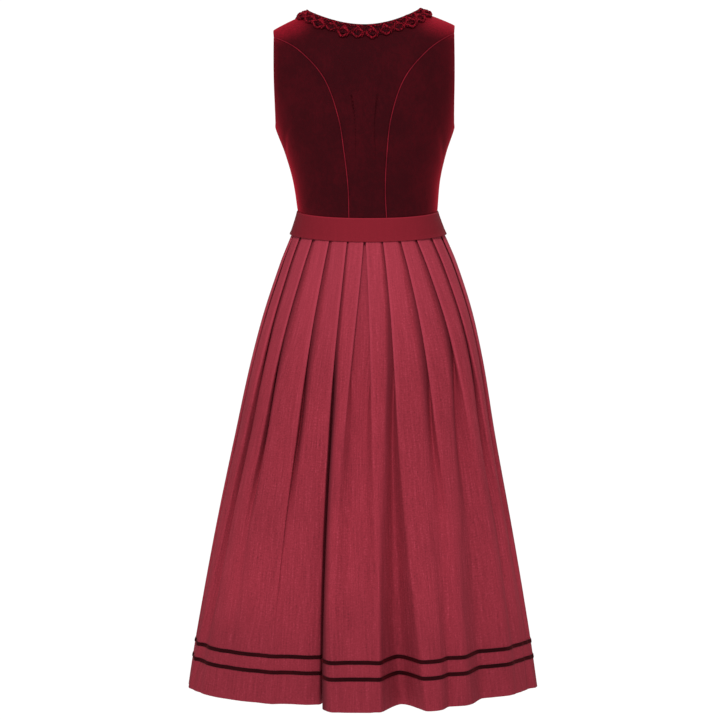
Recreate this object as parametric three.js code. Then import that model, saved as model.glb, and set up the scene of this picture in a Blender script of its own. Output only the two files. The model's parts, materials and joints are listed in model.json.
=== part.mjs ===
// A sleeveless dirndl as it stands when it is filled out with no wearer.
// Millimetres, +Z up, the front faces -Y, the wearer's left is +X.
// The origin lies midway between the shoulders, at the height of the shoulder line.
import * as THREE from 'three';

// ---- driving dimensions -------------------------------------------------------------------
const seamGap = 0.3;            // between two pieces that are sewn edge to edge
const velvetWall = 1.6;         // bodice velvet with its inner layer
const skirtWall = 1.2;          // skirt cloth
const bandWall = 2.4;           // waistband, several layers
const bandLip = 1.2;            // how far its top edge stands out past the velvet
const bandClear = 0.5;          // between the pleats and the band around them
const ribbonWall = 1.0;
const waistDrop = 348;          // shoulder line down to the waist seam
const bandDepth = 42;           // height of the waistband
const hemHeight = -1224;        // z of the hem
const hemRise = { left: 5, right: 3 };  // how much higher the hem lies at the sides
const hemRiseFrom = -1050;      // the rise fades out at this height
const skirtTop = -383;          // z where the pleats end, inside the waistband
const bandBottom = -(waistDrop + bandDepth);
const waistRise = 4;            // how much higher the waist and the band lie at the sides

// Bodice: half neck width, shoulder tip, armhole and neckline depths, all below the shoulder.
const neckHalf = 98;
const backNeckDrop = 30;
const frontNeckDrop = 165;
const shoulderTip = 163.5;
const underarmDrop = 194;
const shoulderRise = 30;        // how far the shoulder line climbs towards the neck
const shoulderFall = { left: 48, right: 39 };  // and falls again to the tip
const shoulderSeamDrop = 0.0006; // the cap is so round here that this parts the seam by its gap
const slopeReach = 210;         // the slope has faded out this far down
const backCap = 130;            // height of the rounding over the shoulder, back and front
const frontCap = 120;
const squareness = 2.4;         // exponent of the bodice's rounded sections and front neckline
const sway = { side: -8.5, z: -450, above: 210, below: 260 };  // the waist stands a little aside

const trimWidth = 27;           // ruched strip round the neck
const trimBackDrop = 18;        // how far the trim reaches down at the centre back
const trimLift = 0.8;           // under the trim, which is flat-backed over the rounded velvet
const puffPitch = 25;
const pipingRadius = 1.0;
const ribbonHeight = 7;
const ribbonLift = 0.45;        // between the skirt and the ribbon on it
const ribbonCentres = { upper: hemHeight + 88, lower: hemHeight + 58.5 };

// Bodice sections: drop below the shoulder line, half width, depth of the back and front.
const bodiceSections = [
  { drop: 0, half: 181, back: 114, front: 98 },
  { drop: 100, half: 179, back: 115, front: 108 },
  { drop: 158, half: 168.5, back: 115, front: 121 },
  { drop: 194, half: 161.5, back: 114, front: 127 },
  { drop: 238, half: 146, back: 111, front: 126 },
  { drop: 288, half: 133.5, back: 106, front: 113 },
  { drop: 348, half: 126.5, back: 104, front: 99 },
];
const bust = { x: 72, drop: 226, spreadX: 42, spreadDrop: 46, height: 13 };

// Where the shaped seams run, from the waist up to the armhole.
const backSeam = [
  { x: 33.5, drop: 348 }, { x: 33, drop: 298 }, { x: 38, drop: 232 }, { x: 47, drop: 169 },
  { x: 70, drop: 107 }, { x: 111, drop: 59 }, { x: 162.5, drop: 15 },
];
const frontSeam = [
  { x: 58, drop: 348 }, { x: 66, drop: 290 }, { x: 78, drop: 235 }, { x: 95, drop: 185 },
  { x: 124, drop: 142 }, { x: 161.8, drop: 108 },
];

// Skirt sections: height, half width, depth of the back and front.
const skirtSections = [
  { z: -383, half: 136, back: 107, front: 104 },
  { z: -396, half: 142, back: 112, front: 110 },
  { z: -440, half: 160, back: 125, front: 124 },
  { z: -529, half: 189, back: 142, front: 144 },
  { z: -618, half: 210, back: 153, front: 158 },
  { z: -751, half: 235, back: 162, front: 174 },
  { z: -928, half: 270, back: 167, front: 192 },
  { z: -1106, half: 303, back: 168, front: 207 },
  { z: -1224, half: 323, back: 168, front: 214 },
];
const skirtRows = [-383, -395, -428, -478, -545, -642, -775, -938, -1130, -1171, -1224];

// The skirt's pleats, from the centre back round to the centre front on each side. Each column
// holds a value at the waist, at the middle of the skirt and at the hem, or at the last two.
// crest: angle of the fold edge; valley and edge: the bottom of the fold and the far side of
// it; depth: how deep the fold is; swell: how far the crest stands out of the plain section.
// fade is the share of the fold that smooths out below the middle.
const middleHeight = -700;
const pleatColumns = ['crest', 'valley', 'edge', 'depth', 'swell', 'fade'];
const pleatTable = {
  left: [
    [[3.8, 9.4, 7.5], [6, 4.5], [0, 0], [13, -43], [3, 42], 0],
    [[16.2, 17, 15.5], [16.4, 12], [15.2, 13], [20, 50], [1, -12], 0],
    [[30.6, 31.7, 33], [32.4, 31], [29.6, 28], [17, 3], [4, -2], 0.85],
    [[46.7, 51.9, 56], [52.4, 53], [49.8, 50], [17, 3], [4, 0], 0.85],
    [[64, 65, 80], [65.4, 76], [62.8, 72], [18, 4], [5, 1], 0.5],
    [[80.5, 81, 92], [81.5, 88], [78.5, 85], [14, 6], [2, 0], 0.5],
    [[96, 95, 104], [95.5, 100], [92.5, 97], [12, 8], [1, 0], 0.5],
    [[110, 109, 115], [109.5, 111], [106, 108], [15, 12], [2, 2], 0.3],
    [[123, 122.5, 126], [122.5, 122], [119, 118.5], [13, 8], [1, 0], 0.6],
    [[137, 136.5, 138.5], [136.5, 133.5], [133, 129.5], [17, 20], [3, 6], 0],
    [[151, 150.5, 151], [150.5, 147], [147, 143.5], [13, 8], [1, 0], 0.6],
    [[165.5, 165.5, 165], [165, 160.5], [161.5, 156.5], [16, 17], [2, 5], 0.1],
  ],
  right: [
    [[-1.7, 2.8, 3.4], [0.2, 1.4], [0, 0], [13, -43], [3, 40], 0],
    [[11.1, 14.4, 19.2], [13, 12.2], [9.4, 6.8], [18, 22], [3, 42], 0],
    [[25, 32.6, 31], [32.4, 27.5], [28.6, 24.5], [13, -12], [3, 14], 0.7],
    [[39.3, 53.5, 58], [50, 44], [45, 37.5], [18, 36], [3, -15], 0.6],
    [[56.6, 68, 76], [68, 71], [64, 67], [17, 20], [3, -17], 0.75],
    [[76, 81, 88], [81, 84], [77.5, 81], [14, 8], [3, -4], 0.6],
    [[91, 94, 99], [93.5, 95.5], [90, 92], [13, 5], [1, -1], 0.5],
    [[106, 107.5, 110.5], [107, 106.5], [103.5, 103], [13, 8], [0, 0], 0.5],
    [[120, 121, 123.5], [120.5, 119], [117, 115.5], [15, 18], [2, 4], 0],
    [[134.5, 135, 136.5], [134.5, 132], [131, 128.5], [13, 10], [1, 0], 0.5],
    [[149.5, 149.5, 151.5], [149, 146.5], [145.5, 142.5], [16, 20], [3, 6], 0],
    [[165, 165.5, 165], [165, 160.5], [161.5, 157], [13, 9], [1, 1], 0.5],
  ],
};
const pleats = Object.fromEntries(Object.entries(pleatTable).map(([side, rows]) => [
  side, rows.map((row) => Object.fromEntries(row.map((value, i) => [pleatColumns[i], value]))),
]));
const layerPitch = 1.8;         // from layer to layer where the pleats lie folded
const fadeHeight = 230;         // over this height below the middle
const tuck = 0.5;               // degrees that the bottom of a fold reaches on under its crest
const foldDepth = 23;           // how far each pleat is folded under at the waist
const sideSeamFace = 5;         // the side seam runs down the face of this pleat
const frontEdge = 179.93;       // where the bodice and band meet at the centre front
const skirtEdge = 179.99;       // and the skirt, whose edges are drawn in by the seam gap

// ---- small helpers ------------------------------------------------------------------------
const degrees = Math.PI / 180;
const mix = (a, b, t) => a + (b - a) * t;
const clamp01 = (t) => Math.min(1, Math.max(0, t));
const smooth = (t) => clamp01(t) ** 2 * (3 - 2 * clamp01(t));

// Reads column `to` of a table at position `at` of column `from`, on a smooth curve.
function column(table, from, to, at) {
  const up = table[1][from] > table[0][from] ? 1 : -1;
  let i = 0;
  while (i < table.length - 2 && up * at > up * table[i + 1][from]) i += 1;
  const [p, q] = [table[i], table[i + 1]];
  const before = table[Math.max(i - 1, 0)];
  const after = table[Math.min(i + 2, table.length - 1)];
  const span = q[from] - p[from];
  const t = clamp01((at - p[from]) / span);
  const slopeP = (q[to] - before[to]) / (q[from] - before[from]);
  const slopeQ = (after[to] - p[to]) / (after[from] - p[from]);
  return (2 * t ** 3 - 3 * t ** 2 + 1) * p[to] + (t ** 3 - 2 * t ** 2 + t) * span * slopeP
    + (3 * t ** 2 - 2 * t ** 3) * q[to] + (t ** 3 - t ** 2) * span * slopeQ;
}

// A value given at the waist, the middle and the hem, at height z.
function threeLevels([waist, middle, hem], z) {
  const t = (z - bandBottom) / (hemHeight - bandBottom);
  const m = (middleHeight - bandBottom) / (hemHeight - bandBottom);
  return waist * ((t - m) * (t - 1)) / m + middle * (t * (t - 1)) / (m * (m - 1))
    + hem * (t * (t - m)) / (1 - m);
}

// How far the whole section at height z stands aside of the middle.
const swayAt = (z) => sway.side * Math.exp(-(((z - sway.z) / (z > sway.z ? sway.above : sway.below)) ** 2));

// A closed wall from a grid of points: face(i, j) gives its outer and inner point.
function wall(rows, columns, face) {
  const positions = [];
  const index = [];
  for (const side of [0, 1]) {
    for (let i = 0; i <= rows; i += 1) {
      for (let j = 0; j <= columns; j += 1) positions.push(...face(i, j)[side].toArray());
    }
  }
  const layer = (rows + 1) * (columns + 1);
  const at = (side, i, j) => side * layer + i * (columns + 1) + j;
  const quad = (a, b, c, d) => index.push(a, b, c, a, c, d);
  for (let i = 0; i < rows; i += 1) {
    for (let j = 0; j < columns; j += 1) {
      quad(at(0, i, j), at(0, i, j + 1), at(0, i + 1, j + 1), at(0, i + 1, j));
      quad(at(1, i, j), at(1, i + 1, j), at(1, i + 1, j + 1), at(1, i, j + 1));
    }
  }
  for (let j = 0; j < columns; j += 1) {
    quad(at(0, 0, j + 1), at(0, 0, j), at(1, 0, j), at(1, 0, j + 1));
    quad(at(0, rows, j), at(0, rows, j + 1), at(1, rows, j + 1), at(1, rows, j));
  }
  for (let i = 0; i < rows; i += 1) {
    quad(at(0, i, 0), at(0, i + 1, 0), at(1, i + 1, 0), at(1, i, 0));
    quad(at(0, i + 1, columns), at(0, i, columns), at(1, i, columns), at(1, i + 1, columns));
  }
  return closedGeometry(positions, index);
}

// Turns the faces outwards when the grid happened to run the other way round.
function closedGeometry(positions, index) {
  let volume = 0;
  const corner = (k) => new THREE.Vector3().fromArray(positions, 3 * index[k]);
  for (let k = 0; k < index.length; k += 3) {
    volume += corner(k).dot(corner(k + 1).cross(corner(k + 2)));
  }
  if (volume < 0) {
    for (let k = 0; k < index.length; k += 3) [index[k], index[k + 1]] = [index[k + 1], index[k]];
  }
  const geometry = new THREE.BufferGeometry();
  geometry.setAttribute('position', new THREE.Float32BufferAttribute(positions, 3));
  geometry.setIndex(index);
  geometry.computeVertexNormals();
  return geometry;
}

// ---- bodice -------------------------------------------------------------------------------
// A place on the bodice is an angle round the body, 0 at the centre back, positive to the
// wearer's left and 180 at the centre front, and a drop below the shoulder line.
const section = (drop, name) => column(bodiceSections, 'drop', name, drop);
const cap = (drop, height) => Math.sqrt(1 - (1 - Math.min(drop, height) / height) ** 2);
const shoulderLine = (x) => (
  shoulderRise - (x < 0 ? shoulderFall.right : shoulderFall.left) * (x / shoulderTip) ** 2
);
// The waist seam climbs a little towards the sides.
const waistClimb = (angle) => waistRise * Math.sin(angle * degrees) ** 2;

function bodicePoint({ angle, drop }) {
  const power = 2 / squareness;
  const s = Math.sin(angle * degrees);
  const c = Math.cos(angle * degrees);
  const x = Math.sign(s) * section(drop, 'half') * Math.abs(s) ** power;
  let y = Math.abs(c) ** power;
  y *= c > 0 ? section(drop, 'back') * cap(drop, backCap) : -section(drop, 'front') * cap(drop, frontCap);
  if (c < 0) {
    const away = ((Math.abs(x) - bust.x) / bust.spreadX) ** 2 + ((drop - bust.drop) / bust.spreadDrop) ** 2;
    y -= bust.height * Math.exp(-away);
  }
  const slope = Math.max(0, 1 - drop / slopeReach) ** 2;
  const climb = waistClimb(angle) * smooth((drop - 250) / (waistDrop - 250));
  return new THREE.Vector3(x + swayAt(-drop), y, -drop + shoulderLine(x) * slope + climb);
}

function bodiceNormal({ angle, drop }) {
  const step = 0.02;
  const across = bodicePoint({ angle: angle + step, drop }).sub(bodicePoint({ angle: angle - step, drop }));
  const low = Math.max(drop - step, 0);
  const down = bodicePoint({ angle, drop: drop + step }).sub(bodicePoint({ angle, drop: low }));
  return across.cross(down).normalize();
}

const lifted = (place, lift) => bodicePoint(place).addScaledVector(bodiceNormal(place), lift);

// The angle of the point that lies x to the side of the middle, on the back or the front.
function place(x, drop, isFront) {
  const share = Math.min(1, Math.abs(x) / section(drop, 'half'));
  const angle = Math.asin(share ** (squareness / 2)) / degrees;
  return { angle: Math.sign(x || 1) * (isFront ? 180 - angle : angle), drop };
}

// A smooth curve through a seam's points, from the waist (0) to the armhole (1).
function seamCurve(points) {
  const curve = new THREE.CatmullRomCurve3(points.map((p) => new THREE.Vector3(p.x, p.drop, 0)));
  return (t, shift = 0) => {
    const p = curve.getPointAt(t);
    const tangent = curve.getTangentAt(t);
    return { x: p.x + tangent.y * -shift, drop: p.y + tangent.x * shift };
  };
}
const backSeamAt = seamCurve(backSeam);
const frontSeamAt = seamCurve(frontSeam);
const armholeX = (drop) => mix(shoulderTip, 161.4, smooth(drop / underarmDrop));

const neckAt = (turn, share, isFront) => {
  const half = neckHalf + share * trimWidth;
  const power = isFront ? 2 / squareness : 1;
  const deep = isFront ? frontNeckDrop + share * trimWidth : backNeckDrop + share * trimBackDrop;
  const down = isFront ? Math.cos(turn) ** power : Math.cos(turn) ** 2;
  return { x: half * Math.sin(turn) ** power, drop: Math.max(0, deep * down) };
};

// Fills the surface between four edges: bottom(u), top(u), start(v) and end(v).
function patch(bottom, top, start, end, u, v) {
  const blend = (name) => {
    const corners = mix(mix(start(0)[name], end(0)[name], u), mix(start(1)[name], end(1)[name], u), v);
    return mix(start(v)[name], end(v)[name], u) + mix(bottom(u)[name], top(u)[name], v) - corners;
  };
  return { angle: blend('angle'), drop: Math.max(0, blend('drop')) };
}

function panel(rowShares, columns, edges) {
  return wall(rowShares.length - 1, columns, (i, j) => {
    const at = patch(edges.bottom, edges.top, edges.start, edges.end, j / columns, rowShares[i]);
    return [lifted(at, 0), lifted(at, -velvetWall)];
  });
}

const seamRows = 11;            // rows of facets along each shaped seam
const backSeamShare = 0.9;      // the seam takes this share of the centre panel's side
const frontSeamShare = 0.72;

function seamShares(share, above) {
  const shares = Array.from({ length: seamRows + 1 }, (_, i) => share * i / seamRows);
  return [...shares, ...above.map((a) => share + (1 - share) * a)];
}

// From the waist up a shaped seam and on along the armhole to the shoulder tip.
function seamAndArmhole(v, share, seamAt, isFront, side, shift) {
  if (v <= share + 1e-9) {
    const p = seamAt(Math.min(1, v / share), shift);
    return place(side * p.x, p.drop, isFront);
  }
  const end = seamAt(1, shift);
  const t = ((v - share) / (1 - share)) ** 0.8;
  const drop = mix(end.drop, shoulderSeamDrop, t);
  return place(side * mix(end.x, armholeX(drop), smooth(t)), drop, isFront);
}

function centreBack() {
  const side = (sign) => (v) => seamAndArmhole(v, backSeamShare, backSeamAt, false, sign, -seamGap / 2);
  const waist = Math.abs(side(1)(0).angle);
  const neckShare = 0.62;
  return panel(seamShares(backSeamShare, [0.6, 1]), 14, {
    bottom: (u) => ({ angle: mix(-waist, waist, u), drop: waistDrop }),
    top: (u) => {
      const w = 2 * u - 1;
      const across = Math.abs(w);
      if (across < neckShare) {
        const p = neckAt(across / neckShare * Math.PI / 2, 0, false);
        return place(Math.sign(w || 1) * p.x, Math.max(p.drop, shoulderSeamDrop), false);
      }
      const x = mix(neckHalf, shoulderTip, (across - neckShare) / (1 - neckShare));
      return place(Math.sign(w) * x, shoulderSeamDrop, false);
    },
    start: side(-1),
    end: side(1),
  });
}

function sidePanel(sign, isFront) {
  const seamAt = isFront ? frontSeamAt : backSeamAt;
  const sideAngle = isFront ? 90.025 : 89.975;
  const inner = (v) => {
    const p = seamAt(v, seamGap / 2);
    return place(p.x, p.drop, isFront);
  };
  const seamEnd = seamAt(1, seamGap / 2);
  const shares = Array.from({ length: seamRows + 1 }, (_, i) => i / seamRows);
  const mirrored = (fn) => (t) => ({ angle: sign * fn(t).angle, drop: fn(t).drop });
  return panel(shares, 6, {
    bottom: mirrored((u) => ({ angle: mix(inner(0).angle, sideAngle, u), drop: waistDrop })),
    top: mirrored((u) => {
      const drop = mix(seamEnd.drop, underarmDrop, Math.sin(u * Math.PI / 2));
      const at = place(mix(seamEnd.x, armholeX(drop), smooth(2 * u)), drop, isFront);
      return { angle: mix(at.angle, sideAngle, smooth(u * 4 - 3)), drop };
    }),
    start: mirrored(inner),
    end: mirrored((v) => ({ angle: sideAngle, drop: mix(waistDrop, underarmDrop, v) })),
  });
}

function centreFront(sign) {
  const turnShare = 0.55;       // the centre front takes this share of the panel's inner side
  const mirrored = (fn) => (t) => ({ angle: sign * fn(t).angle, drop: fn(t).drop });
  const outer = (v) => seamAndArmhole(v, frontSeamShare, frontSeamAt, true, 1, -seamGap / 2);
  return panel(seamShares(frontSeamShare, [0.3, 0.6, 0.85, 1]), 8, {
    bottom: mirrored((u) => ({ angle: mix(frontEdge, outer(0).angle, u), drop: waistDrop })),
    top: mirrored((u) => place(mix(neckHalf, shoulderTip, u), shoulderSeamDrop, true)),
    start: mirrored((v) => {
      if (v < turnShare) return { angle: frontEdge, drop: mix(waistDrop, frontNeckDrop, v / turnShare) };
      const p = neckAt((v - turnShare) / (1 - turnShare) * Math.PI / 2, 0, true);
      return place(Math.max(p.x, 0.2), Math.max(p.drop, shoulderSeamDrop), true);
    }),
    end: mirrored(outer),
  });
}

// The neck trim: a ruched strip, pinched into two rows of round puffs.
function neckTrim() {
  const steps = 400;
  const at = (t, share) => {
    const isFront = Math.abs(t) > 0.5;
    const turn = isFront ? (1 - Math.abs(t)) * Math.PI : Math.abs(t) * Math.PI;
    const p = neckAt(turn, share, isFront);
    return place(Math.sign(t || 1) * Math.max(p.x, isFront ? 0.2 : 0), p.drop, isFront);
  };
  const lengths = [0];
  for (let i = 1; i <= steps; i += 1) {
    const here = bodicePoint(at(2 * i / steps - 1, 0.6));
    lengths.push(lengths[i - 1] + here.distanceTo(bodicePoint(at(2 * (i - 1) / steps - 1, 0.6))));
  }
  const puffs = 2 * Math.round(lengths[steps] / puffPitch / 2);
  const perPuff = 3;
  const columns = puffs * perPuff;
  const turnAt = (j) => {
    const wanted = lengths[steps] * j / columns;
    let i = 1;
    while (i < steps && lengths[i] < wanted) i += 1;
    const t = i - 1 + clamp01((wanted - lengths[i - 1]) / (lengths[i] - lengths[i - 1]));
    return 2 * t / steps - 1;
  };
  // share across the trim, height of its plain strip there, and of a puff above that
  const profile = [
    { share: -0.03, strip: 2.5, puff: 2 }, { share: 0.15, strip: 3.2, puff: 5 },
    { share: 0.36, strip: 2.2, puff: 1.5 }, { share: 0.64, strip: 2.6, puff: 6.5 },
    { share: 1, strip: 1.5, puff: 1 },
  ];
  return wall(profile.length - 1, columns, (i, j) => {
    const { share, strip, puff } = profile[i];
    const crown = Math.sin(Math.PI * ((j % perPuff) / perPuff)) ** 2;
    const reach = share === 1 ? 0.9 + 0.1 * crown : share;
    const spot = at(turnAt(j), reach);
    return [lifted(spot, trimLift + strip + puff * crown), lifted(spot, trimLift)];
  });
}

// A round cord laid over a back seam.
function piping(sign) {
  const sides = 6;
  const rings = seamRows;
  const positions = [];
  const index = [];
  for (let i = 0; i <= rings; i += 1) {
    const t = i / rings;
    const p = backSeamAt(t);
    const [from, to] = [backSeamAt(Math.max(0, t - 0.01)), backSeamAt(Math.min(1, t + 0.01))];
    const here = place(sign * p.x, p.drop, false);
    const up = bodiceNormal(here);
    const behind = bodicePoint(place(sign * from.x, from.drop, false));
    const along = bodicePoint(place(sign * to.x, to.drop, false)).sub(behind).normalize();
    const across = up.clone().cross(along).normalize();
    const middle = lifted(here, seamGap + pipingRadius);
    for (let k = 0; k < sides; k += 1) {
      const turn = 2 * Math.PI * k / sides;
      const rim = middle.clone().addScaledVector(up, pipingRadius * Math.cos(turn));
      positions.push(...rim.addScaledVector(across, pipingRadius * Math.sin(turn)).toArray());
      if (i === 0) continue;
      const a = (i - 1) * sides + k;
      const b = (i - 1) * sides + (k + 1) % sides;
      index.push(a, b, b + sides, a, b + sides, a + sides);
    }
  }
  for (let k = 1; k < sides - 1; k += 1) {
    index.push(0, k + 1, k);
    index.push(rings * sides, rings * sides + k, rings * sides + k + 1);
  }
  return closedGeometry(positions, index);
}

// ---- skirt --------------------------------------------------------------------------------
// A place on the skirt is an angle round the body, as on the bodice, a height and a depth in
// from the plain oval section.
function skirtPoint(angle, z, depth) {
  const half = column(skirtSections, 'z', 'half', z);
  const c = Math.cos(angle * degrees);
  const s = Math.sin(angle * degrees);
  const rise = s < 0 ? hemRise.right : hemRise.left;
  const climb = rise * s ** 4 * smooth((hemRiseFrom - z) / (hemRiseFrom - hemHeight));
  const deep = column(skirtSections, 'z', c > 0 ? 'back' : 'front', z);
  const out = new THREE.Vector2(s * deep, c * half).normalize();
  return new THREE.Vector3(swayAt(z) + half * s - out.x * depth, deep * c - out.y * depth, z + climb);
}

// Degrees of angle that one millimetre along the section takes up.
function degreesPerMillimetre(angle, z) {
  return 0.1 / skirtPoint(angle, z, 0).distanceTo(skirtPoint(angle + 0.1, z, 0));
}

// How far a pleat is folded under its face, which runs from one crest to the next.
function foldedUnder(crest, nextCrest, z) {
  const pitch = (nextCrest - crest) / degreesPerMillimetre(crest, z);
  return Math.min(foldDepth, pitch - 8);
}

// The points of one pleat at height z, from the crest of the one before it to its own crest.
// Folded, they lie in three layers; open, they are a soft wave.
function pleatPoints(previous, pleat, next, z) {
  const open = smooth((bandBottom - 8 - z) / (bandBottom - 8 - middleHeight));
  const start = threeLevels(previous.crest, z);
  const crest = threeLevels(pleat.crest, z);
  const two = (name, waist) => threeLevels([waist, ...pleat[name]], z);
  const unit = degreesPerMillimetre(crest, z);
  const startUnit = degreesPerMillimetre(start, z);
  const faceUnder = foldedUnder(start, crest, z);
  const under = foldedUnder(crest, next ? threeLevels(next.crest, z) : 180, z);
  const swell = threeLevels([0, ...previous.swell], z);
  const ownSwell = threeLevels([0, ...pleat.swell], z);
  const valley = two('valley', crest);
  const edge = two('edge', crest - 2);
  const fading = pleat.fade * smooth((middleHeight - z) / fadeHeight);
  const depth = mix(two('depth', 2 * layerPitch), -ownSwell, fading);
  const edgeDepth = mix(-swell, depth, 0.3);
  const bent = (foldedAngle, foldedDepth, openAngle, openDepth) => ({
    angle: mix(foldedAngle, openAngle, open), depth: mix(foldedDepth, openDepth, open),
  });
  return [
    bent(start + 0.5 * faceUnder * startUnit, 0, mix(start, edge, 0.4), -swell),
    bent(start + (faceUnder + 1.5) * startUnit, 0, mix(start, edge, 0.75), mix(-swell, edgeDepth, 0.45)),
    bent(crest - 1.6 * unit, 2 * layerPitch, edge, edgeDepth),
    bent(crest + under * unit, 2 * layerPitch, valley, depth),
    bent(crest + under * unit, layerPitch, valley + Math.max(0.35 * (crest - valley), tuck),
      mix(depth, -ownSwell, 0.12)),
    bent(crest, layerPitch, mix(valley, crest, 0.78), mix(depth, -ownSwell, 0.68)),
    bent(crest, 0, crest, -ownSwell),
  ];
}

// The inverted pleat at the centre back joins the first crests of both sides.
function centrePleat(z) {
  const open = smooth((bandBottom - 8 - z) / (bandBottom - 8 - middleHeight));
  const path = [];
  for (const [side, sign] of [['right', -1], ['left', 1]]) {
    const pleat = pleats[side][0];
    const crest = threeLevels(pleat.crest, z);
    const unit = degreesPerMillimetre(crest, z);
    const swell = threeLevels([0, ...pleat.swell], z);
    const depth = threeLevels([2 * layerPitch, ...pleat.depth], z);
    const under = foldedUnder(crest, threeLevels(pleats[side][1].crest, z), z) * unit;
    const bottom = sign * threeLevels([crest, ...pleat.valley], z);
    const half = [
      { angle: mix(sign * crest, sign * crest, open), depth: mix(0, -swell, open) },
      { angle: mix(sign * crest, mix(bottom, sign * crest, 0.7), open),
        depth: mix(layerPitch, mix(depth, -swell, 0.6), open) },
      { angle: mix(sign * (crest + under), mix(bottom, sign * crest, 0.3), open),
        depth: mix(layerPitch, mix(depth, -swell, 0.1), open) },
      { angle: mix(sign * (crest + under), bottom + sign * 0.4, open),
        depth: mix(2 * layerPitch, depth, open) },
    ];
    path.push(...(sign < 0 ? half : half.reverse()));
  }
  return path;
}

// The whole section at height z, from the centre front on the right, past the centre back,
// to the centre front on the left. cuts are the places of the two side seams.
function skirtSection(z) {
  const half = (side, sign) => {
    const table = pleats[side];
    const path = [];
    let cut = 0;
    for (let k = 1; k < table.length; k += 1) {
      if (k === sideSeamFace + 1) cut = path.length;
      path.push(...pleatPoints(table[k - 1], table[k], table[k + 1], z));
    }
    const last = threeLevels(table.at(-1).crest, z);
    const lastSwell = threeLevels([0, ...table.at(-1).swell], z);
    for (const share of [0.3, 0.65, 1]) {
      path.push({ angle: mix(last, skirtEdge, share), depth: mix(-lastSwell, 0, share) });
    }
    return { path: path.map((p) => ({ angle: sign * p.angle, depth: p.depth })), cut };
  };
  const left = half('left', 1);
  const right = half('right', -1);
  const middle = centrePleat(z);
  const path = [...right.path.reverse(), ...middle, ...left.path];
  const total = right.path.length;
  return { path, cuts: [total - 1 - right.cut, total + middle.length + left.cut] };
}

// Offsets a section sideways by `lift`, with mitred corners.
function offsetSection(points, lift) {
  return points.map((p, j) => {
    const a = points[Math.max(j - 1, 0)];
    const b = points[Math.min(j + 1, points.length - 1)];
    const before = new THREE.Vector2(p.x - a.x, p.y - a.y);
    const after = new THREE.Vector2(b.x - p.x, b.y - p.y);
    if (before.length() < 1e-6) before.copy(after);
    if (after.length() < 1e-6) after.copy(before);
    before.normalize();
    after.normalize();
    const normal = new THREE.Vector2(-before.y - after.y, before.x + after.x).normalize();
    const stretch = Math.min(1.5, 1 / Math.max(0.5, normal.dot(new THREE.Vector2(-before.y, before.x))));
    return new THREE.Vector3(p.x + normal.x * lift * stretch, p.y + normal.y * lift * stretch, p.z);
  });
}

const skirtGrid = skirtRows.map((z) => {
  const { path, cuts } = skirtSection(z);
  return { z, cuts, points: path.map((p) => skirtPoint(p.angle, z, p.depth)) };
});

// One skirt panel's rows of centre points, with its ends drawn in by the seam gap.
function panelRows(first, last) {
  return skirtGrid.map(({ points, cuts }) => {
    const ends = [0, ...cuts, points.length - 1];
    const row = points.slice(ends[first], ends[last] + 1).map((p) => p.clone());
    const drawIn = (end, next) => end.addScaledVector(next.clone().sub(end).normalize(), seamGap * 0.6);
    drawIn(row[0], row[1]);
    drawIn(row.at(-1), row.at(-2));
    return row;
  });
}

function skirtPanel(rows) {
  const outer = rows.map((row) => offsetSection(row, skirtWall / 2));
  const inner = rows.map((row) => offsetSection(row, -skirtWall / 2));
  return wall(rows.length - 1, rows[0].length - 1, (i, j) => [outer[i][j], inner[i][j]]);
}

// A flat ribbon sewn round a skirt panel, on the panel's own points.
function hemRibbon(rows, centre) {
  const level = (z) => {
    const i = skirtRows.findIndex((rowHeight) => rowHeight <= z);
    const t = (skirtRows[i - 1] - z) / (skirtRows[i - 1] - skirtRows[i]);
    return rows[i].map((p, j) => rows[i - 1][j].clone().lerp(p, t));
  };
  const edges = [centre - ribbonHeight / 2, centre + ribbonHeight / 2].map(level);
  const under = edges.map((row) => offsetSection(row, skirtWall / 2 + ribbonLift));
  const over = edges.map((row) => offsetSection(row, skirtWall / 2 + ribbonLift + ribbonWall));
  return wall(1, rows[0].length - 1, (i, j) => [over[i][j], under[i][j]]);
}

// ---- waistband ----------------------------------------------------------------------------
function waistband() {
  const columns = 44;
  const rows = [-waistDrop - seamGap, -waistDrop - 15, -waistDrop - 30, bandBottom];
  return wall(rows.length - 1, columns, (i, j) => {
    const angle = mix(-frontEdge, frontEdge, j / columns);
    const upper = lifted({ angle, drop: waistDrop }, -velvetWall);
    const outside = -(skirtWall / 2 + bandClear);
    const lower = skirtPoint(angle, skirtTop, outside);
    const share = (-waistDrop - rows[i]) / (-waistDrop - skirtTop);
    const inner = i === rows.length - 1 ? skirtPoint(angle, bandBottom, outside) : upper.lerp(lower, share);
    inner.z = rows[i] + waistClimb(angle);
    const out = new THREE.Vector3(inner.x - swayAt(inner.z), inner.y, 0).normalize();
    return [inner.clone().addScaledVector(out, i === 0 ? velvetWall + bandLip : bandWall), inner];
  });
}

// ---- assembly -----------------------------------------------------------------------------
const finishes = {
  velvet: { color: 0x470d13, roughness: 0.9 },
  trim: { color: 0x3a060e, roughness: 0.85 },
  band: { color: 0x7e1e2a, roughness: 0.65 },
  skirt: { color: 0x983040, roughness: 0.85 },
  ribbon: { color: 0x2a0508, roughness: 0.9 },
};

const dirndl = new THREE.Group();
function add(name, geometry, finish) {
  const material = new THREE.MeshStandardMaterial({ ...finishes[finish], metalness: 0 });
  const mesh = new THREE.Mesh(geometry, material);
  mesh.name = name;
  dirndl.add(mesh);
}

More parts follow.
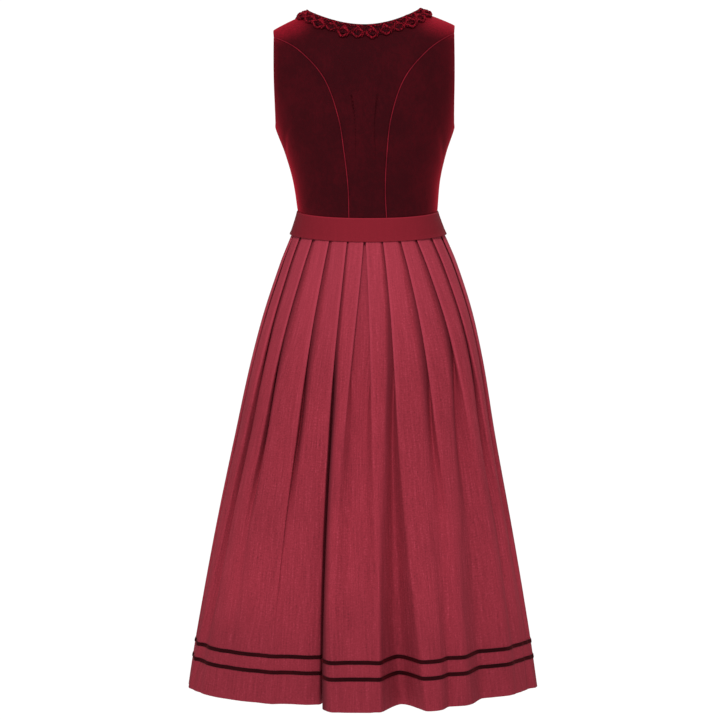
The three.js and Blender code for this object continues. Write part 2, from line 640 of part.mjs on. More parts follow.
add('back_centre', centreBack(), 'velvet');
for (const [side, sign] of [['left', 1], ['right', -1]]) {
  add(`back_side_${side}`, sidePanel(sign, false), 'velvet');
  add(`front_side_${side}`, sidePanel(sign, true), 'velvet');
  add(`front_centre_${side}`, centreFront(sign), 'velvet');
  add(`back_piping_${side}`, piping(sign), 'trim');
}
add('neck_trim', neckTrim(), 'trim');
add('waistband', waistband(), 'band');
const panels = { front_right: [0, 1], back: [1, 2], front_left: [2, 3] };
for (const [name, [first, last]] of Object.entries(panels)) {
  const rows = panelRows(first, last);
  add(`skirt_${name}`, skirtPanel(rows), 'skirt');
  for (const [level, centre] of Object.entries(ribbonCentres)) {
    add(`hem_ribbon_${level}_${name}`, hemRibbon(rows, centre), 'ribbon');
  }
}

export default dirndl;
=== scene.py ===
# %% [markdown]
# # A dirndl, sewn in Blender around its fixed frame
#
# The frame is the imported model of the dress: plain solids at their real size. This lesson makes
# the fine cloth that is seen. Every piece is worked out from the same short tables as the
# solids, only with many more rows, and then it replaces its solid.

# %% Load the frame
import json
import math

import bpy
import numpy as np
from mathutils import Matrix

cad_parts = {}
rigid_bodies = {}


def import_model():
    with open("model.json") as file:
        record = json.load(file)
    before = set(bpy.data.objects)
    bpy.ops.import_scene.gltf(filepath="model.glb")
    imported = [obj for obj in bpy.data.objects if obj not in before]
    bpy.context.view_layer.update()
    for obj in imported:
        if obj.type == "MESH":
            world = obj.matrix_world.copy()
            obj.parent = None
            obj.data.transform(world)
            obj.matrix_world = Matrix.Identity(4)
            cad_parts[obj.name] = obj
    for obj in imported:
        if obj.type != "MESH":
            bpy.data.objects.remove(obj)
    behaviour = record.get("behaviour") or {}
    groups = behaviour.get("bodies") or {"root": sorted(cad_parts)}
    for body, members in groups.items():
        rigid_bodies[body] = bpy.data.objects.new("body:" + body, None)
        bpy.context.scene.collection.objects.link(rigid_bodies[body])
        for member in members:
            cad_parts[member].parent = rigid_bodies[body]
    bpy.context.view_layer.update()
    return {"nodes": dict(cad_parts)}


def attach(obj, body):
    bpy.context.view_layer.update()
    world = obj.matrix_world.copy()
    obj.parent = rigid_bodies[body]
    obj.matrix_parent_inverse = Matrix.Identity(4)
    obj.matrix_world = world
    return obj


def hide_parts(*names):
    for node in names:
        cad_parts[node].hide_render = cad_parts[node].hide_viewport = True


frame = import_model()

MM = 0.001                      # the tables are in millimetres, Blender works in metres
print("nodes in the frame:", len(frame["nodes"]))

# %% [markdown]
# ## Camera, light and floor
#
# The dress is seen from behind, from a little above the shoulders and from far away, as with a
# long lens, so that it keeps its true outline. A close camera with a wide lens would swell the
# middle of it. A soft lamp shines from above the camera, a weaker one from the other side, and a
# pale sky fills the shadows. Far lamps light the whole floor evenly.

# %% Camera
CAMERA_PLACE = (0.007, 6.5, 0.214)
CAMERA_PITCH = 7.28             # degrees below the level
CAMERA_LENS = 180               # millimetres, on a sensor 36 wide

scene = bpy.context.scene
scene.view_settings.view_transform = "Standard"
camera = bpy.data.objects.new("camera", bpy.data.cameras.new("camera"))
camera.data.lens = CAMERA_LENS
camera.data.sensor_width = 36
camera.location = CAMERA_PLACE
camera.rotation_euler = (math.radians(90 - CAMERA_PITCH), 0, math.pi)
scene.collection.objects.link(camera)
scene.camera = camera
print("camera at", CAMERA_PLACE)


# %% Lamps and sky
LAMP_DISTANCE = 3               # metres


def far_lamp(name, direction, strength, softness):
    """A far lamp: where it stands as seen from the dress, and how many degrees wide it looks."""
    data = bpy.data.lights.new(name, "SUN")
    data.energy = strength
    data.angle = math.radians(softness)
    lamp = bpy.data.objects.new(name, data)
    scene.collection.objects.link(lamp)
    lamp.rotation_euler = (math.atan2(math.hypot(direction[0], direction[1]), direction[2]), 0,
                           math.atan2(direction[0], -direction[1]))
    lamp.location = [LAMP_DISTANCE * value for value in direction]


far_lamp("key_lamp", (0.12, 1.0, 0.95), 2.3, 20)
far_lamp("front_lamp", (-0.4, -1.0, 0.8), 1.1, 40)

world = bpy.data.worlds.new("sky")
world.use_nodes = True
world.node_tree.nodes["Background"].inputs["Color"].default_value = (1, 1, 1, 1)
world.node_tree.nodes["Background"].inputs["Strength"].default_value = 0.4
scene.world = world

# %% [markdown]
# ## Shader maths in plain Python
#
# A finish is a small graph of nodes. It could be wired node by node, or drawn by hand in the
# shader editor, but both are slow to read in a script. So one class wraps a socket and lets
# `a * b + 0.2` add the Math nodes, and one method makes every other node.


# %% Value and Finish
OBJECT_PLACE, UV_PLACE = 3, 2   # two outputs of the Texture Coordinate node
SHEEN_ROUGHNESS = 0.4


class Value:
    """A number, colour or vector in a finish. Python's operators on numbers add Math nodes."""

    def __init__(self, finish, socket):
        self.finish = finish
        self.socket = socket

    def maths(self, operation, first, second):
        return self.finish.node("ShaderNodeMath", {"operation": operation}, {0: first, 1: second})

    def __add__(self, other):
        return self.maths("ADD", self, other)

    def __sub__(self, other):
        return self.maths("SUBTRACT", self, other)

    def __mul__(self, other):
        return self.maths("MULTIPLY", self, other)


class Finish:
    """A material that is built from Python expressions."""

    def __init__(self, name):
        self.material = bpy.data.materials.new(name)
        self.material.use_nodes = True
        self.material.node_tree.nodes.clear()

    def node(self, kind, settings=None, inputs=None, output=0):
        tree = self.material.node_tree
        made = tree.nodes.new(kind)
        for name, value in (settings or {}).items():
            setattr(made, name, value)
        for key, value in (inputs or {}).items():
            if isinstance(value, Value):
                tree.links.new(value.socket, made.inputs[key])
            else:
                made.inputs[key].default_value = value
        return Value(self, made.outputs[output])

    def stretched(self, vector, scales):
        """The coordinates times a scale along each axis."""
        return self.node("ShaderNodeMapping", {"vector_type": "POINT"},
                         {"Vector": vector, "Scale": scales})

    def noise(self, vector, scale=1.0, detail=2.0, roughness=0.5):
        return self.node("ShaderNodeTexNoise", None, {
            "Vector": vector, "Scale": scale, "Detail": detail, "Roughness": roughness})

    def between(self, value, low, high, to_low=0.0, to_high=1.0):
        """The value's stretch from low to high, spread over to_low to to_high."""
        return self.node("ShaderNodeMapRange", {"interpolation_type": "SMOOTHSTEP"}, {
            "Value": value, "From Min": low, "From Max": high, "To Min": to_low, "To Max": to_high})

    def blend(self, factor, first, second):
        """A colour from the first (0) to the second (1)."""
        return self.node("ShaderNodeMix", {"data_type": "RGBA"}, {0: factor, 6: first, 7: second}, 2)

    def attribute(self, name):
        return self.node("ShaderNodeAttribute", {"attribute_name": name}, None, 2)

    def bump(self, height, distance, strength):
        return self.node("ShaderNodeBump", None, {
            "Height": height, "Distance": distance, "Strength": strength})

    def cloth(self, colour, roughness, normal, gloss, sheen=0.0, sheen_tint=(1, 1, 1, 1)):
        """The shader itself. Only colour, roughness and normal vary over the surface."""
        shader = self.node("ShaderNodeBsdfPrincipled", None, {
            "Base Color": colour, "Roughness": roughness, "Normal": normal,
            "Sheen Weight": sheen, "Sheen Roughness": SHEEN_ROUGHNESS, "Sheen Tint": sheen_tint,
            "Specular IOR Level": gloss})
        tree = self.material.node_tree
        tree.links.new(shader.socket, tree.nodes.new("ShaderNodeOutputMaterial").inputs["Surface"])
        return self.material


def rgb(red, green, blue):
    """A colour given in screen values from 0 to 255, as the linear values that shaders use."""
    def linear(c):
        c /= 255
        return c / 12.92 if c <= 0.04045 else ((c + 0.055) / 1.055) ** 2.4
    return (linear(red), linear(green), linear(blue), 1.0)


print("a mid grey of 128 is", round(rgb(128, 128, 128)[0], 3), "in linear light")


# %% [markdown]
# ## The finishes
#
# Velvet is dark where it is seen straight on and bright at its turning edges, because the
# light catches the tips of the pile from the side. Real hairs could do that, but they cost
# millions of strands. A sheen layer over a dark base gives the same glow for nothing. The pile
# also lies a little differently from place to place, which shows as soft patches. On top of that
# a painted highlight, carried by an attribute, paints the colour lighter where light would catch
# the pile: over the shoulders, at the armholes and on the crests of the trim, piping and ribbons.


# %% Velvet
def velvet(name, dark, light, backing, tint, sheen, patchiness=0.5, speckle=0.0, grain=0.25):
    finish = Finish(name)
    place = finish.node("ShaderNodeTexCoord", None, None, OBJECT_PLACE)
    patches = finish.noise(place, 16, 3, 0.6)
    strokes = finish.noise(finish.stretched(place, (150, 150, 90)), 1, 3, 0.6)
    pile = finish.noise(place, 420, 4, 0.75)
    lying = patches * 0.6 + strokes * 0.4
    shade = finish.between(lying, 0.36, 0.66, 0, patchiness) + (pile - 0.5) * grain
    # painted highlight: the attribute paints the colour towards the light one, broken into specks by the pile
    painted_lighting = finish.attribute("painted_lighting") * finish.between(pile, 0.4, 0.6, 1 - speckle, 1)
    lit = finish.node("ShaderNodeMath", {"operation": "MAXIMUM", "use_clamp": True},
                      {0: shade + painted_lighting, 1: 0.0})
    face = finish.blend(lit, dark, light)
    inside = finish.attribute("inside")
    colour = finish.blend(inside, face, backing)
    roughness = finish.between(pile, 0.3, 0.7, 0.8, 0.95)
    normal = finish.bump(pile + strokes * 0.6, 0.0006, 0.35)
    return finish.cloth(colour, roughness, normal, 0.05, sheen, tint)


# the light colour shows mostly where a highlight is painted, over the shoulders and armholes
bodice_velvet = velvet("bordeaux_velvet", dark=rgb(46, 6, 12), light=rgb(150, 20, 38),
                       backing=rgb(88, 20, 28), tint=rgb(225, 20, 52), sheen=0.85,
                       patchiness=0.06, speckle=0.5, grain=0.2)
# the light colour shows as the highlight painted on the lips of the mouths
trim_velvet = velvet("trim_velvet", dark=rgb(30, 5, 10), light=rgb(190, 28, 50),
                     backing=rgb(40, 6, 12), tint=rgb(225, 20, 50), sheen=0.25,
                     patchiness=0.1, speckle=0.95, grain=1.1)
# the piping is the same velvet as the panels; its lighter colours are a painted sheen
piping_velvet = velvet("piping_velvet", dark=rgb(92, 16, 28), light=rgb(128, 26, 40),
                       backing=rgb(60, 10, 16), tint=rgb(225, 20, 50), sheen=0.3)
# the light colour shows as the highlight painted along the ribbons' tops
ribbon_velvet = velvet("dark_ribbon_velvet", dark=rgb(22, 2, 4), light=rgb(50, 5, 10),
                       backing=rgb(50, 8, 12), tint=rgb(225, 40, 60), sheen=0.15)
print("velvets:", bodice_velvet.name, trim_velvet.name, piping_velvet.name, ribbon_velvet.name)

# %% [markdown]
# The skirt is a plain weave whose warp threads are thick and thin, so fine streaks run down
# the cloth. A picture of a weave could show them, but it repeats, and it blurs up close. Noise
# that is stretched along the threads does neither. The streaks have to follow the cloth into
# each pleat, so they read the piece's own UV map, which is laid out in metres: u along the
# cloth's width, v down its length. Here too an attribute paints light and shade into the
# colour: above 0 it is a painted highlight, below 0 it is painted shade.


# %% Woven cloth
def woven(name, base, light, dark, roughness, threads, slub, gloss):
    """A plain weave: threads scales its fineness, slub is how strongly its streaks show."""
    finish = Finish(name)
    cloth = finish.node("ShaderNodeTexCoord", None, None, UV_PLACE)
    fine = finish.noise(finish.stretched(cloth, (1400 * threads, 60, 1)), 1, 2, 0.6)
    broad = finish.noise(finish.stretched(cloth, (330 * threads, 14, 1)), 1, 3, 0.6)
    weft = finish.noise(finish.stretched(cloth, (70, 1300 * threads, 1)), 1, 2, 0.6)
    grain = finish.noise(finish.stretched(cloth, (330, 330, 1)), 1, 4, 0.75)
    clouds = finish.noise(finish.stretched(cloth, (9, 5, 1)), 1, 2)
    streak = fine * 0.2 + broad * 0.25 + weft * 0.15 + grain * 0.4
    light_share = finish.between(streak, 0.5, 0.64, 0, slub)
    cloud = finish.between(clouds, 0.35, 0.7, 0, 0.18)
    dark_share = finish.between(streak, 0.5, 0.36, 0, slub) + cloud
    colour = finish.blend(dark_share, finish.blend(light_share, base, light), dark)
    rough = finish.between(fine, 0.3, 0.7, roughness - 0.06, roughness + 0.06)
    # painted light and shade: the attribute paints the colour lighter above 0 and darker below 0
    painted_lighting = finish.attribute("painted_lighting")
    colour = finish.blend(painted_lighting * -1, finish.blend(painted_lighting, colour, light), dark)
    normal = finish.bump(fine * 0.4 + weft * 0.3 + grain * 0.3, 0.0004, 0.5)
    return finish.cloth(colour, rough, normal, gloss)


skirt_cloth = woven("raspberry_skirt_cloth", base=rgb(140, 42, 55), light=rgb(180, 66, 84),
                    dark=rgb(92, 26, 36), roughness=0.95, threads=1, slub=0.75, gloss=0.1)
band_cloth = woven("dark_red_band_cloth", base=rgb(104, 21, 31), light=rgb(138, 31, 45),
                   dark=rgb(88, 14, 24), roughness=0.9, threads=1.6, slub=0.5, gloss=0.1)
print("woven cloths:", skirt_cloth.name, band_cloth.name)


# %% [markdown]
# The thread that holds the ribbons is dark and smooth, and the floor is plain and pale. Neither
# needs more than one noise between two colours. The floor could lie right under the hem, but
# then the dress's shadow would fall in the picture, so it lies far below.


# %% Thread and floor
def plain_finish(name, low, high, roughness, scale):
    finish = Finish(name)
    place = finish.node("ShaderNodeTexCoord", None, None, OBJECT_PLACE)
    grain = finish.noise(place, scale, 3)
    colour = finish.blend(grain, low, high)
    normal = finish.bump(grain, 0.0003, 0.3)
    return finish.cloth(colour, roughness, normal, 0.25)


ribbon_thread = plain_finish("dark_thread", rgb(40, 4, 8), rgb(64, 10, 16), 0.55, 3000)
floor_finish = plain_finish("pale_floor", rgb(247, 247, 247), rgb(250, 250, 250), 0.9, 2)
FLOOR_SIZE = 600
FLOOR_DROP = 3.2                # the dress hangs high, so its shadow falls outside the picture
bpy.ops.mesh.primitive_plane_add(size=FLOOR_SIZE, location=(0, 0, -FLOOR_DROP))
floor = bpy.context.object
floor.name = "floor"
floor.data.materials.append(floor_finish)
print("floor at", -FLOOR_DROP)

# %% [markdown]
# ## Reading the tables
#
# Each table gives a few sections of the dress. The shapes could be modelled by hand from there,
# but then a changed size would mean doing it again. Here a smooth curve through a column gives
# the value in between, on whole arrays at once, so thousands of points take no time.


# %% Small helpers
def mix(a, b, t):
    return a + (b - a) * t


def smooth(t):
    t = np.clip(t, 0, 1)
    return t ** 2 * (3 - 2 * t)


def table(columns, *rows):
    """Rows of bare values, each value read by its column's name."""
    return [dict(zip(columns, row)) for row in rows]


def hermite(first, second, first_slope, second_slope, t):
    """The smooth curve from one value to the next that leaves and arrives at given slopes."""
    return ((2 * t ** 3 - 3 * t ** 2 + 1) * first + (t ** 3 - 2 * t ** 2 + t) * first_slope
            + (3 * t ** 2 - 2 * t ** 3) * second + (t ** 3 - t ** 2) * second_slope)


def column(rows, start, name, at):
    """Reads a column at positions of another column, on a smooth curve."""
    knots = np.array([row[start] for row in rows], float)
    values = np.array([row[name] for row in rows], float)
    if knots[1] < knots[0]:
        knots, at = -knots, -np.asarray(at, float)
    last = len(knots) - 1
    i = np.clip(np.searchsorted(knots, at) - 1, 0, last - 1)
    after, before = np.minimum(np.arange(last + 1) + 1, last), np.maximum(np.arange(last + 1) - 1, 0)
    slopes = (values[after] - values[before]) / (knots[after] - knots[before])
    span = knots[i + 1] - knots[i]
    t = np.clip((at - knots[i]) / span, 0, 1)
    return hermite(values[i], values[i + 1], span * slopes[i], span * slopes[i + 1], t)


def smooth_line(points, counts):
    """A centripetal curve through points (..., n, d), with counts[k] steps in stretch k."""
    first = 2 * points[..., :1, :] - points[..., 1:2, :]
    final = 2 * points[..., -1:, :] - points[..., -2:-1, :]
    padded = np.concatenate([first, points, final], axis=-2)
    pieces = []
    for k, count in enumerate(counts):
        p = [padded[..., k + m, :] for m in range(4)]
        gaps = [np.maximum(np.linalg.norm(p[m + 1] - p[m], axis=-1, keepdims=True), 1e-6) ** 0.5
                for m in range(3)]
        start = ((p[1] - p[0]) / gaps[0] - (p[2] - p[0]) / (gaps[0] + gaps[1])
                 + (p[2] - p[1]) / gaps[1]) * gaps[1]
        end = ((p[2] - p[1]) / gaps[1] - (p[3] - p[1]) / (gaps[1] + gaps[2])
               + (p[3] - p[2]) / gaps[2]) * gaps[1]
        pieces.extend(hermite(p[1], p[2], start, end, step / count) for step in range(count))
    pieces.append(points[..., -1, :])
    return np.stack(pieces, axis=-2)


def unit(vectors):
    return vectors / np.maximum(np.linalg.norm(vectors, axis=-1, keepdims=True), 1e-9)


def lengths_along(line):
    """The distance along a line of points, from its start to each point."""
    return np.append(0, np.cumsum(np.linalg.norm(np.diff(line, axis=0), axis=1)))


print("a smooth step is", smooth(0.25), "a quarter of the way")


# %% [markdown]
# ## From a grid of points to a closed piece of cloth
#
# A piece of cloth is two grids of points, its right side and its wrong side, joined round the
# rim. Built that way its thickness is real everywhere and it has no open edge, which a single
# sheet with a Solidify modifier only gets on simple shapes.


# %% Cloth from two grids
SHARP_ANGLE = 62


def mesh_object(name, points, quads, material, uv=None, attributes=None):
    """A mesh from points in millimetres and four-cornered faces, facing outwards."""
    points = np.asarray(points, float).reshape(-1, 3) * MM
    quads = np.asarray(quads, np.int32).reshape(-1, 4)
    a, b, c, d = (points[quads[:, k]] for k in range(4))
    if (a * (np.cross(b, c) + np.cross(c, d))).sum() < 0:      # a negative volume
        quads = quads[:, ::-1].copy()
    mesh = bpy.data.meshes.new(name)
    mesh.vertices.add(len(points))
    mesh.vertices.foreach_set("co", points.ravel())
    mesh.loops.add(quads.size)
    mesh.loops.foreach_set("vertex_index", quads.ravel())
    mesh.polygons.add(len(quads))
    mesh.polygons.foreach_set("loop_start", np.arange(0, quads.size, 4, dtype=np.int32))
    mesh.polygons.foreach_set("use_smooth", np.ones(len(quads), bool))
    if uv is not None:
        layer = mesh.uv_layers.new(name="cloth")
        layer.data.foreach_set("uv", (np.asarray(uv).reshape(-1, 2) * MM)[quads.ravel()].ravel())
    for key, values in (attributes or {}).items():
        mesh.attributes.new(key, "FLOAT", "POINT").data.foreach_set("value", np.ravel(values))
    mesh.update()
    mesh.validate()
    mesh.set_sharp_from_angle(angle=math.radians(SHARP_ANGLE))
    mesh.materials.append(material)
    made = bpy.data.objects.new(name, mesh)
    scene.collection.objects.link(made)
    return made


def cloth_length(points, axis):
    """How far along the cloth each point lies, along rows (axis 1) or down columns (axis 0)."""
    steps = np.linalg.norm(np.diff(points, axis=axis), axis=2)
    start = np.zeros_like(np.take(steps, [0], axis=axis))
    return np.concatenate([start, np.cumsum(steps, axis=axis)], axis=axis)


def cloth_piece(name, outer, inner, material, painted_lighting=0.0, straight_threads=False):
    """A closed wall between two grids, and the size that its cloth was cut to."""
    rows, columns = outer.shape[:2]
    grid = np.arange(rows * columns).reshape(rows, columns)
    other = grid + rows * columns
    quads = [np.stack([grid[:-1, :-1], grid[:-1, 1:], grid[1:, 1:], grid[1:, :-1]], -1).reshape(-1, 4),
             np.stack([other[:-1, :-1], other[1:, :-1], other[1:, 1:], other[:-1, 1:]], -1).reshape(-1, 4)]
    rim = np.concatenate([grid[0, ::-1], grid[1:, 0], grid[-1, 1:], grid[-2:0:-1, -1]])
    rim = np.append(rim, rim[0])
    below = rim + rows * columns
    quads.append(np.stack([rim[:-1], below[:-1], below[1:], rim[1:]], -1))
    around, down = cloth_length(outer, 1), cloth_length(outer, 0)
    threads = around - around[:, -1:] / 2
    if straight_threads:
        threads = np.broadcast_to(threads.mean(0), down.shape)
    uv = np.stack([threads, -down], -1)
    inside = np.repeat([0.0, 1.0], rows * columns)
    # painted light and shade, kept on the right side only
    painted_lighting_values = np.broadcast_to(painted_lighting, (rows, columns)).ravel()
    made = mesh_object(name, np.concatenate([outer.reshape(-1, 3), inner.reshape(-1, 3)]),
                       np.concatenate(quads), material, np.concatenate([uv.reshape(-1, 2)] * 2),
                       {"inside": inside, "painted_lighting": np.concatenate([painted_lighting_values, painted_lighting_values * 0])})
    corner = outer[:-1, :-1]
    area = sum(np.linalg.norm(np.cross(p - corner, q - corner), axis=2).sum() / 2
               for p, q in [(outer[:-1, 1:], outer[1:, 1:]), (outer[1:, 1:], outer[1:, :-1])])
    made["cut"] = [float(around[:, -1].max()) * MM, float(down[-1].max()) * MM, float(area) * MM ** 2]
    return made


def rolled(rings, ends):
    """The points and faces of a closed round form through rings of points and two end points."""
    count, sides = rings.shape[:2]
    grid = np.arange(count * sides).reshape(count, sides)
    turned = np.roll(grid, -1, axis=1)
    quads = [*np.stack([grid[:-1], turned[:-1], turned[1:], grid[1:]], -1).reshape(-1, 4)]
    first, last = count * sides, count * sides + 1
    for k in range(0, sides, 2):
        quads.append([first, grid[0, (k + 2) % sides], grid[0, (k + 1) % sides], grid[0, k]])
        quads.append([last, grid[-1, k], grid[-1, (k + 1) % sides], grid[-1, (k + 2) % sides]])
    return np.concatenate([rings.reshape(-1, 3), ends]), np.array(quads)


def sew_in(piece, nodes, held=None):
    """Makes a finished piece part of the dress."""
    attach(piece, "root")
    if nodes:
        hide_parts(*nodes)
    if held:
        width, length, area = piece["cut"]
        min(area, width * length)
        print(f"{piece.name}: {width:.3f} x {length:.3f} m, {area:.3f} m2, {len(piece.data.polygons)} faces")


# %% [markdown]
# ## The bodice
#
# The bodice is a rounded tube: a section at each height, drawn in at the waist, with a cap over
# the shoulders. A place on it is an angle round the body, 0 at the centre back, and a drop below
# the shoulder line. A cloth simulation could drape it on a body, but its seams would wander off
# the frame. Instead each panel fills the surface between its own four edges, as a pattern piece
# does, so neighbours meet exactly at their seams.

# %% The body's sections
WAIST_DROP = 348
SEAM_GAP = 0.06
NECK_HALF = 98
BACK_NECK_DROP = 30
FRONT_NECK_DROP = 165
SHOULDER_TIP = 163.5
UNDERARM_DROP = 194
SHOULDER_RISE = 30
SHOULDER_FALL = {"left": 48, "right": 39}
WAIST_RISE = 4
SHOULDER_SEAM_DROP = 0.00001    # so little that no light shows between back and front
SLOPE_REACH = 210
BACK_CAP = 130
FRONT_CAP = 120
SQUARENESS = 2.4
FRONT_EDGE = 179.999            # degrees, where the two fronts meet
CENTRE_GAP = 0.03               # half the gap between them on the neck edge
SWAY = {"side": -8.5, "z": -450, "above": 210, "below": 260}
BODICE_SECTIONS = table(("drop", "half", "back", "front"),
    (0, 181, 114, 98), (100, 179, 115, 108), (158, 168.5, 115, 121), (194, 161.5, 114, 127),
    (238, 146, 111, 126), (288, 133.5, 106, 113), (348, 126.5, 104, 99))
BUST = {"x": 72, "drop": 226, "spread_x": 42, "spread_drop": 46, "height": 13}
BACK_SEAM = [(33.5, 348), (33, 298), (38, 232), (47, 169), (70, 107), (111, 59), (162.5, 15)]
FRONT_SEAM = [(58, 348), (66, 290), (78, 235), (95, 185), (124, 142), (161.8, 108)]


def sway_at(z):
    reach = np.where(z > SWAY["z"], SWAY["above"], SWAY["below"])
    return SWAY["side"] * np.exp(-(((z - SWAY["z"]) / reach) ** 2))


def waist_climb(angle):
    """The waist seam climbs a little towards the sides."""
    return WAIST_RISE * np.sin(np.radians(angle)) ** 2


def bodice_point(angle, drop):
    angle, drop = np.broadcast_arrays(np.asarray(angle, float), np.asarray(drop, float))
    s, c = np.sin(np.radians(angle)), np.cos(np.radians(angle))
    power = 2 / SQUARENESS
    x = np.sign(s) * column(BODICE_SECTIONS, "drop", "half", drop) * np.abs(s) ** power

    def depth(name, cap):
        rounding = np.sqrt(1 - (1 - np.minimum(drop, cap) / cap) ** 2)
        return column(BODICE_SECTIONS, "drop", name, drop) * rounding * np.abs(c) ** power
    away = (((np.abs(x) - BUST["x"]) / BUST["spread_x"]) ** 2
            + ((drop - BUST["drop"]) / BUST["spread_drop"]) ** 2)
    bust = BUST["height"] * np.exp(-away) * smooth(-5 * c)
    y = np.where(c > 0, depth("back", BACK_CAP), -depth("front", FRONT_CAP) - bust)
    fall = np.where(x < 0, SHOULDER_FALL["right"], SHOULDER_FALL["left"])
    line = SHOULDER_RISE - fall * (x / SHOULDER_TIP) ** 2
    slope = np.maximum(0, 1 - drop / SLOPE_REACH) ** 2
    climb = waist_climb(angle) * smooth((drop - 250) / (WAIST_DROP - 250))
    return np.stack([x + sway_at(-drop), y, -drop + line * slope + climb], -1)


def bodice_normal(angle, drop):
    step = 0.02
    across = bodice_point(angle + step, drop) - bodice_point(angle - step, drop)
    down = bodice_point(angle, drop + step) - bodice_point(angle, np.maximum(drop - step, 0))
    return unit(np.cross(across, down))


def lifted(angle, drop, lift):
    return bodice_point(angle, drop) + bodice_normal(angle, drop) * np.asarray(lift)[..., None]


def place(x, drop, is_front):
    """Angle and drop of the point that lies x to the side of the middle."""
    share = np.minimum(1, np.abs(x) / column(BODICE_SECTIONS, "drop", "half", drop))
    angle = np.degrees(np.arcsin(share ** (SQUARENESS / 2)))
    side = np.where(np.asarray(x) < 0, -1.0, 1.0)
    return side * (180 - angle if is_front else angle), drop


waist_ring = bodice_point(np.linspace(-180, 180, 721), WAIST_DROP)
print("waist round the body:", round(lengths_along(waist_ring)[-1]), "mm")


# %% Seams, armholes and neckline
def seam_curve(points):
    """A smooth seam that is read by its share of length, from the waist (0) to the armhole (1)."""
    line = smooth_line(np.array(points, float), [60] * (len(points) - 1))
    lengths = lengths_along(line)
    shares = lengths / lengths[-1]
    tangents = unit(np.gradient(line, shares, axis=0))

    def at(t, shift=0.0):
        p = [np.interp(t, shares, line[:, k]) for k in range(2)]
        tangent = [np.interp(t, shares, tangents[:, k]) for k in range(2)]
        return p[0] - tangent[1] * shift, p[1] + tangent[0] * shift
    return at


back_seam_at = seam_curve(BACK_SEAM)
front_seam_at = seam_curve(FRONT_SEAM)


def armhole_x(drop):
    return mix(SHOULDER_TIP, 161.4, smooth(drop / UNDERARM_DROP))


TRIM_WIDTH = 27
TRIM_BACK_DROP = 18


def neck_at(turn, share, is_front):
    """A place on the neck edge (share 0) or on the far edge of its trim (share 1)."""
    half = NECK_HALF + share * TRIM_WIDTH
    power = 2 / SQUARENESS if is_front else 1
    deep = (FRONT_NECK_DROP + share * TRIM_WIDTH) if is_front else (BACK_NECK_DROP + share * TRIM_BACK_DROP)
    c, s = np.maximum(np.cos(turn), 0), np.maximum(np.sin(turn), 0)
    down = c ** power if is_front else c ** 2
    return half * s ** power, np.maximum(0, deep * down)


def seam_and_armhole(v, share, seam_at, is_front, side, shift):
    """From the waist up a shaped seam and on along the armhole to the shoulder tip."""
    x, drop = seam_at(np.clip(v / share, 0, 1), shift)
    end_x, end_drop = seam_at(1.0, shift)
    t = np.clip((v - share) / (1 - share), 0, 1) ** 0.8
    above = mix(end_drop, SHOULDER_SEAM_DROP, t)
    on_seam = v <= share + 1e-9
    x = np.where(on_seam, x, mix(end_x, armhole_x(above), smooth(t)))
    return place(side * x, np.where(on_seam, drop, above), is_front)


# %% [markdown]
# Velvet is never quite flat: it rolls in at a sewn seam and at the turned edge of an armhole,
# and it puckers a little along the seam. The roll is a small dip of the surface close to the
# panel's edges, and the creases are soft troughs listed in a table.

# %% Panels of velvet
VELVET_WALL = 1.6
EDGE_ROLL = {"reach": 3.0, "depth": 0.9}
EDGE_CROWDING = 0.55
# Soft creases of the bodice: angle and drop of the middle, half length and width, depth, lean.
BODICE_CREASES = table(("angle", "drop", "length", "width", "depth", "lean"),
    (40, 300, 30, 7, 1.0, 0.5), (-44, 306, 25, 6, 0.9, -0.45), (66, 214, 34, 8, 1.2, 0.9),
    (-64, 222, 30, 9, 1.2, -0.8), (30, 118, 40, 10, 0.25, 0.7), (-33, 124, 36, 11, 0.25, -0.7),
    (112, 236, 34, 8, 1.2, 0.8), (-114, 230, 30, 8, 1.1, -0.9), (136, 300, 30, 7, 0.9, 0.4),
    (-139, 306, 26, 6, 0.9, -0.3))


def crease_depth(angle, drop):
    total = np.zeros(np.broadcast(angle, drop).shape)
    for crease in BODICE_CREASES:
        along = (drop - crease["drop"])
        across = (angle - crease["angle"]) * 2.1 - along * crease["lean"]
        total -= crease["depth"] * np.exp(-(along / crease["length"]) ** 2 - (across / crease["width"]) ** 2)
    return total


def painted_sheen(angle, drop):
    """A painted highlight, as sheen: strong over the shoulders and, less, at the armholes."""
    point = bodice_point(angle, drop)
    shoulder = smooth((np.abs(point[..., 0]) - 84) / 40) * smooth((40 - drop) / 38)
    armhole = smooth((np.abs(point[..., 0]) - 149) / 12) * smooth((190 - drop) / 40)
    return np.maximum(0.85 * shoulder, 0.14 * armhole)


def patch(bottom, top, start, end, u, v):
    """Fills the surface between four edges, each a function that gives angle and drop."""
    u, v = np.meshgrid(u, v)
    filled = []
    for k in range(2):
        corners = mix(mix(start(0.0)[k], end(0.0)[k], u), mix(start(1.0)[k], end(1.0)[k], u), v)
        filled.append(mix(start(v)[k], end(v)[k], u) + mix(bottom(u)[k], top(u)[k], v) - corners)
    return filled[0], np.maximum(0, filled[1])


def velvet_panel(name, edges, rows, columns):
    # closer rows and columns at the panel's edges hold the roll
    def spread(count):
        t = np.linspace(0, 1, count)
        return t - EDGE_CROWDING * np.sin(2 * np.pi * t) / (2 * np.pi)
    angle, drop = patch(*edges, spread(columns), spread(rows))
    flat = bodice_point(angle, drop)
    around, down = cloth_length(flat, 1), cloth_length(flat, 0)
    to_edge = np.minimum(np.minimum(around, around[:, -1:] - around), np.minimum(down, down[-1:] - down))
    roll = EDGE_ROLL["depth"] * (1 - smooth(to_edge / EDGE_ROLL["reach"]))
    relief = crease_depth(angle, drop) * smooth(to_edge / 12) - roll
    outer = lifted(angle, drop, relief)
    inner = lifted(angle, drop, np.minimum(relief - 0.5, -VELVET_WALL))
    return cloth_piece(name, outer, inner, bodice_velvet, painted_sheen(angle, drop))


def mirrored(edge, sign):
    """The same edge on the left (1) or the right (-1) of the body."""
    return lambda t: (sign * edge(t)[0], edge(t)[1])


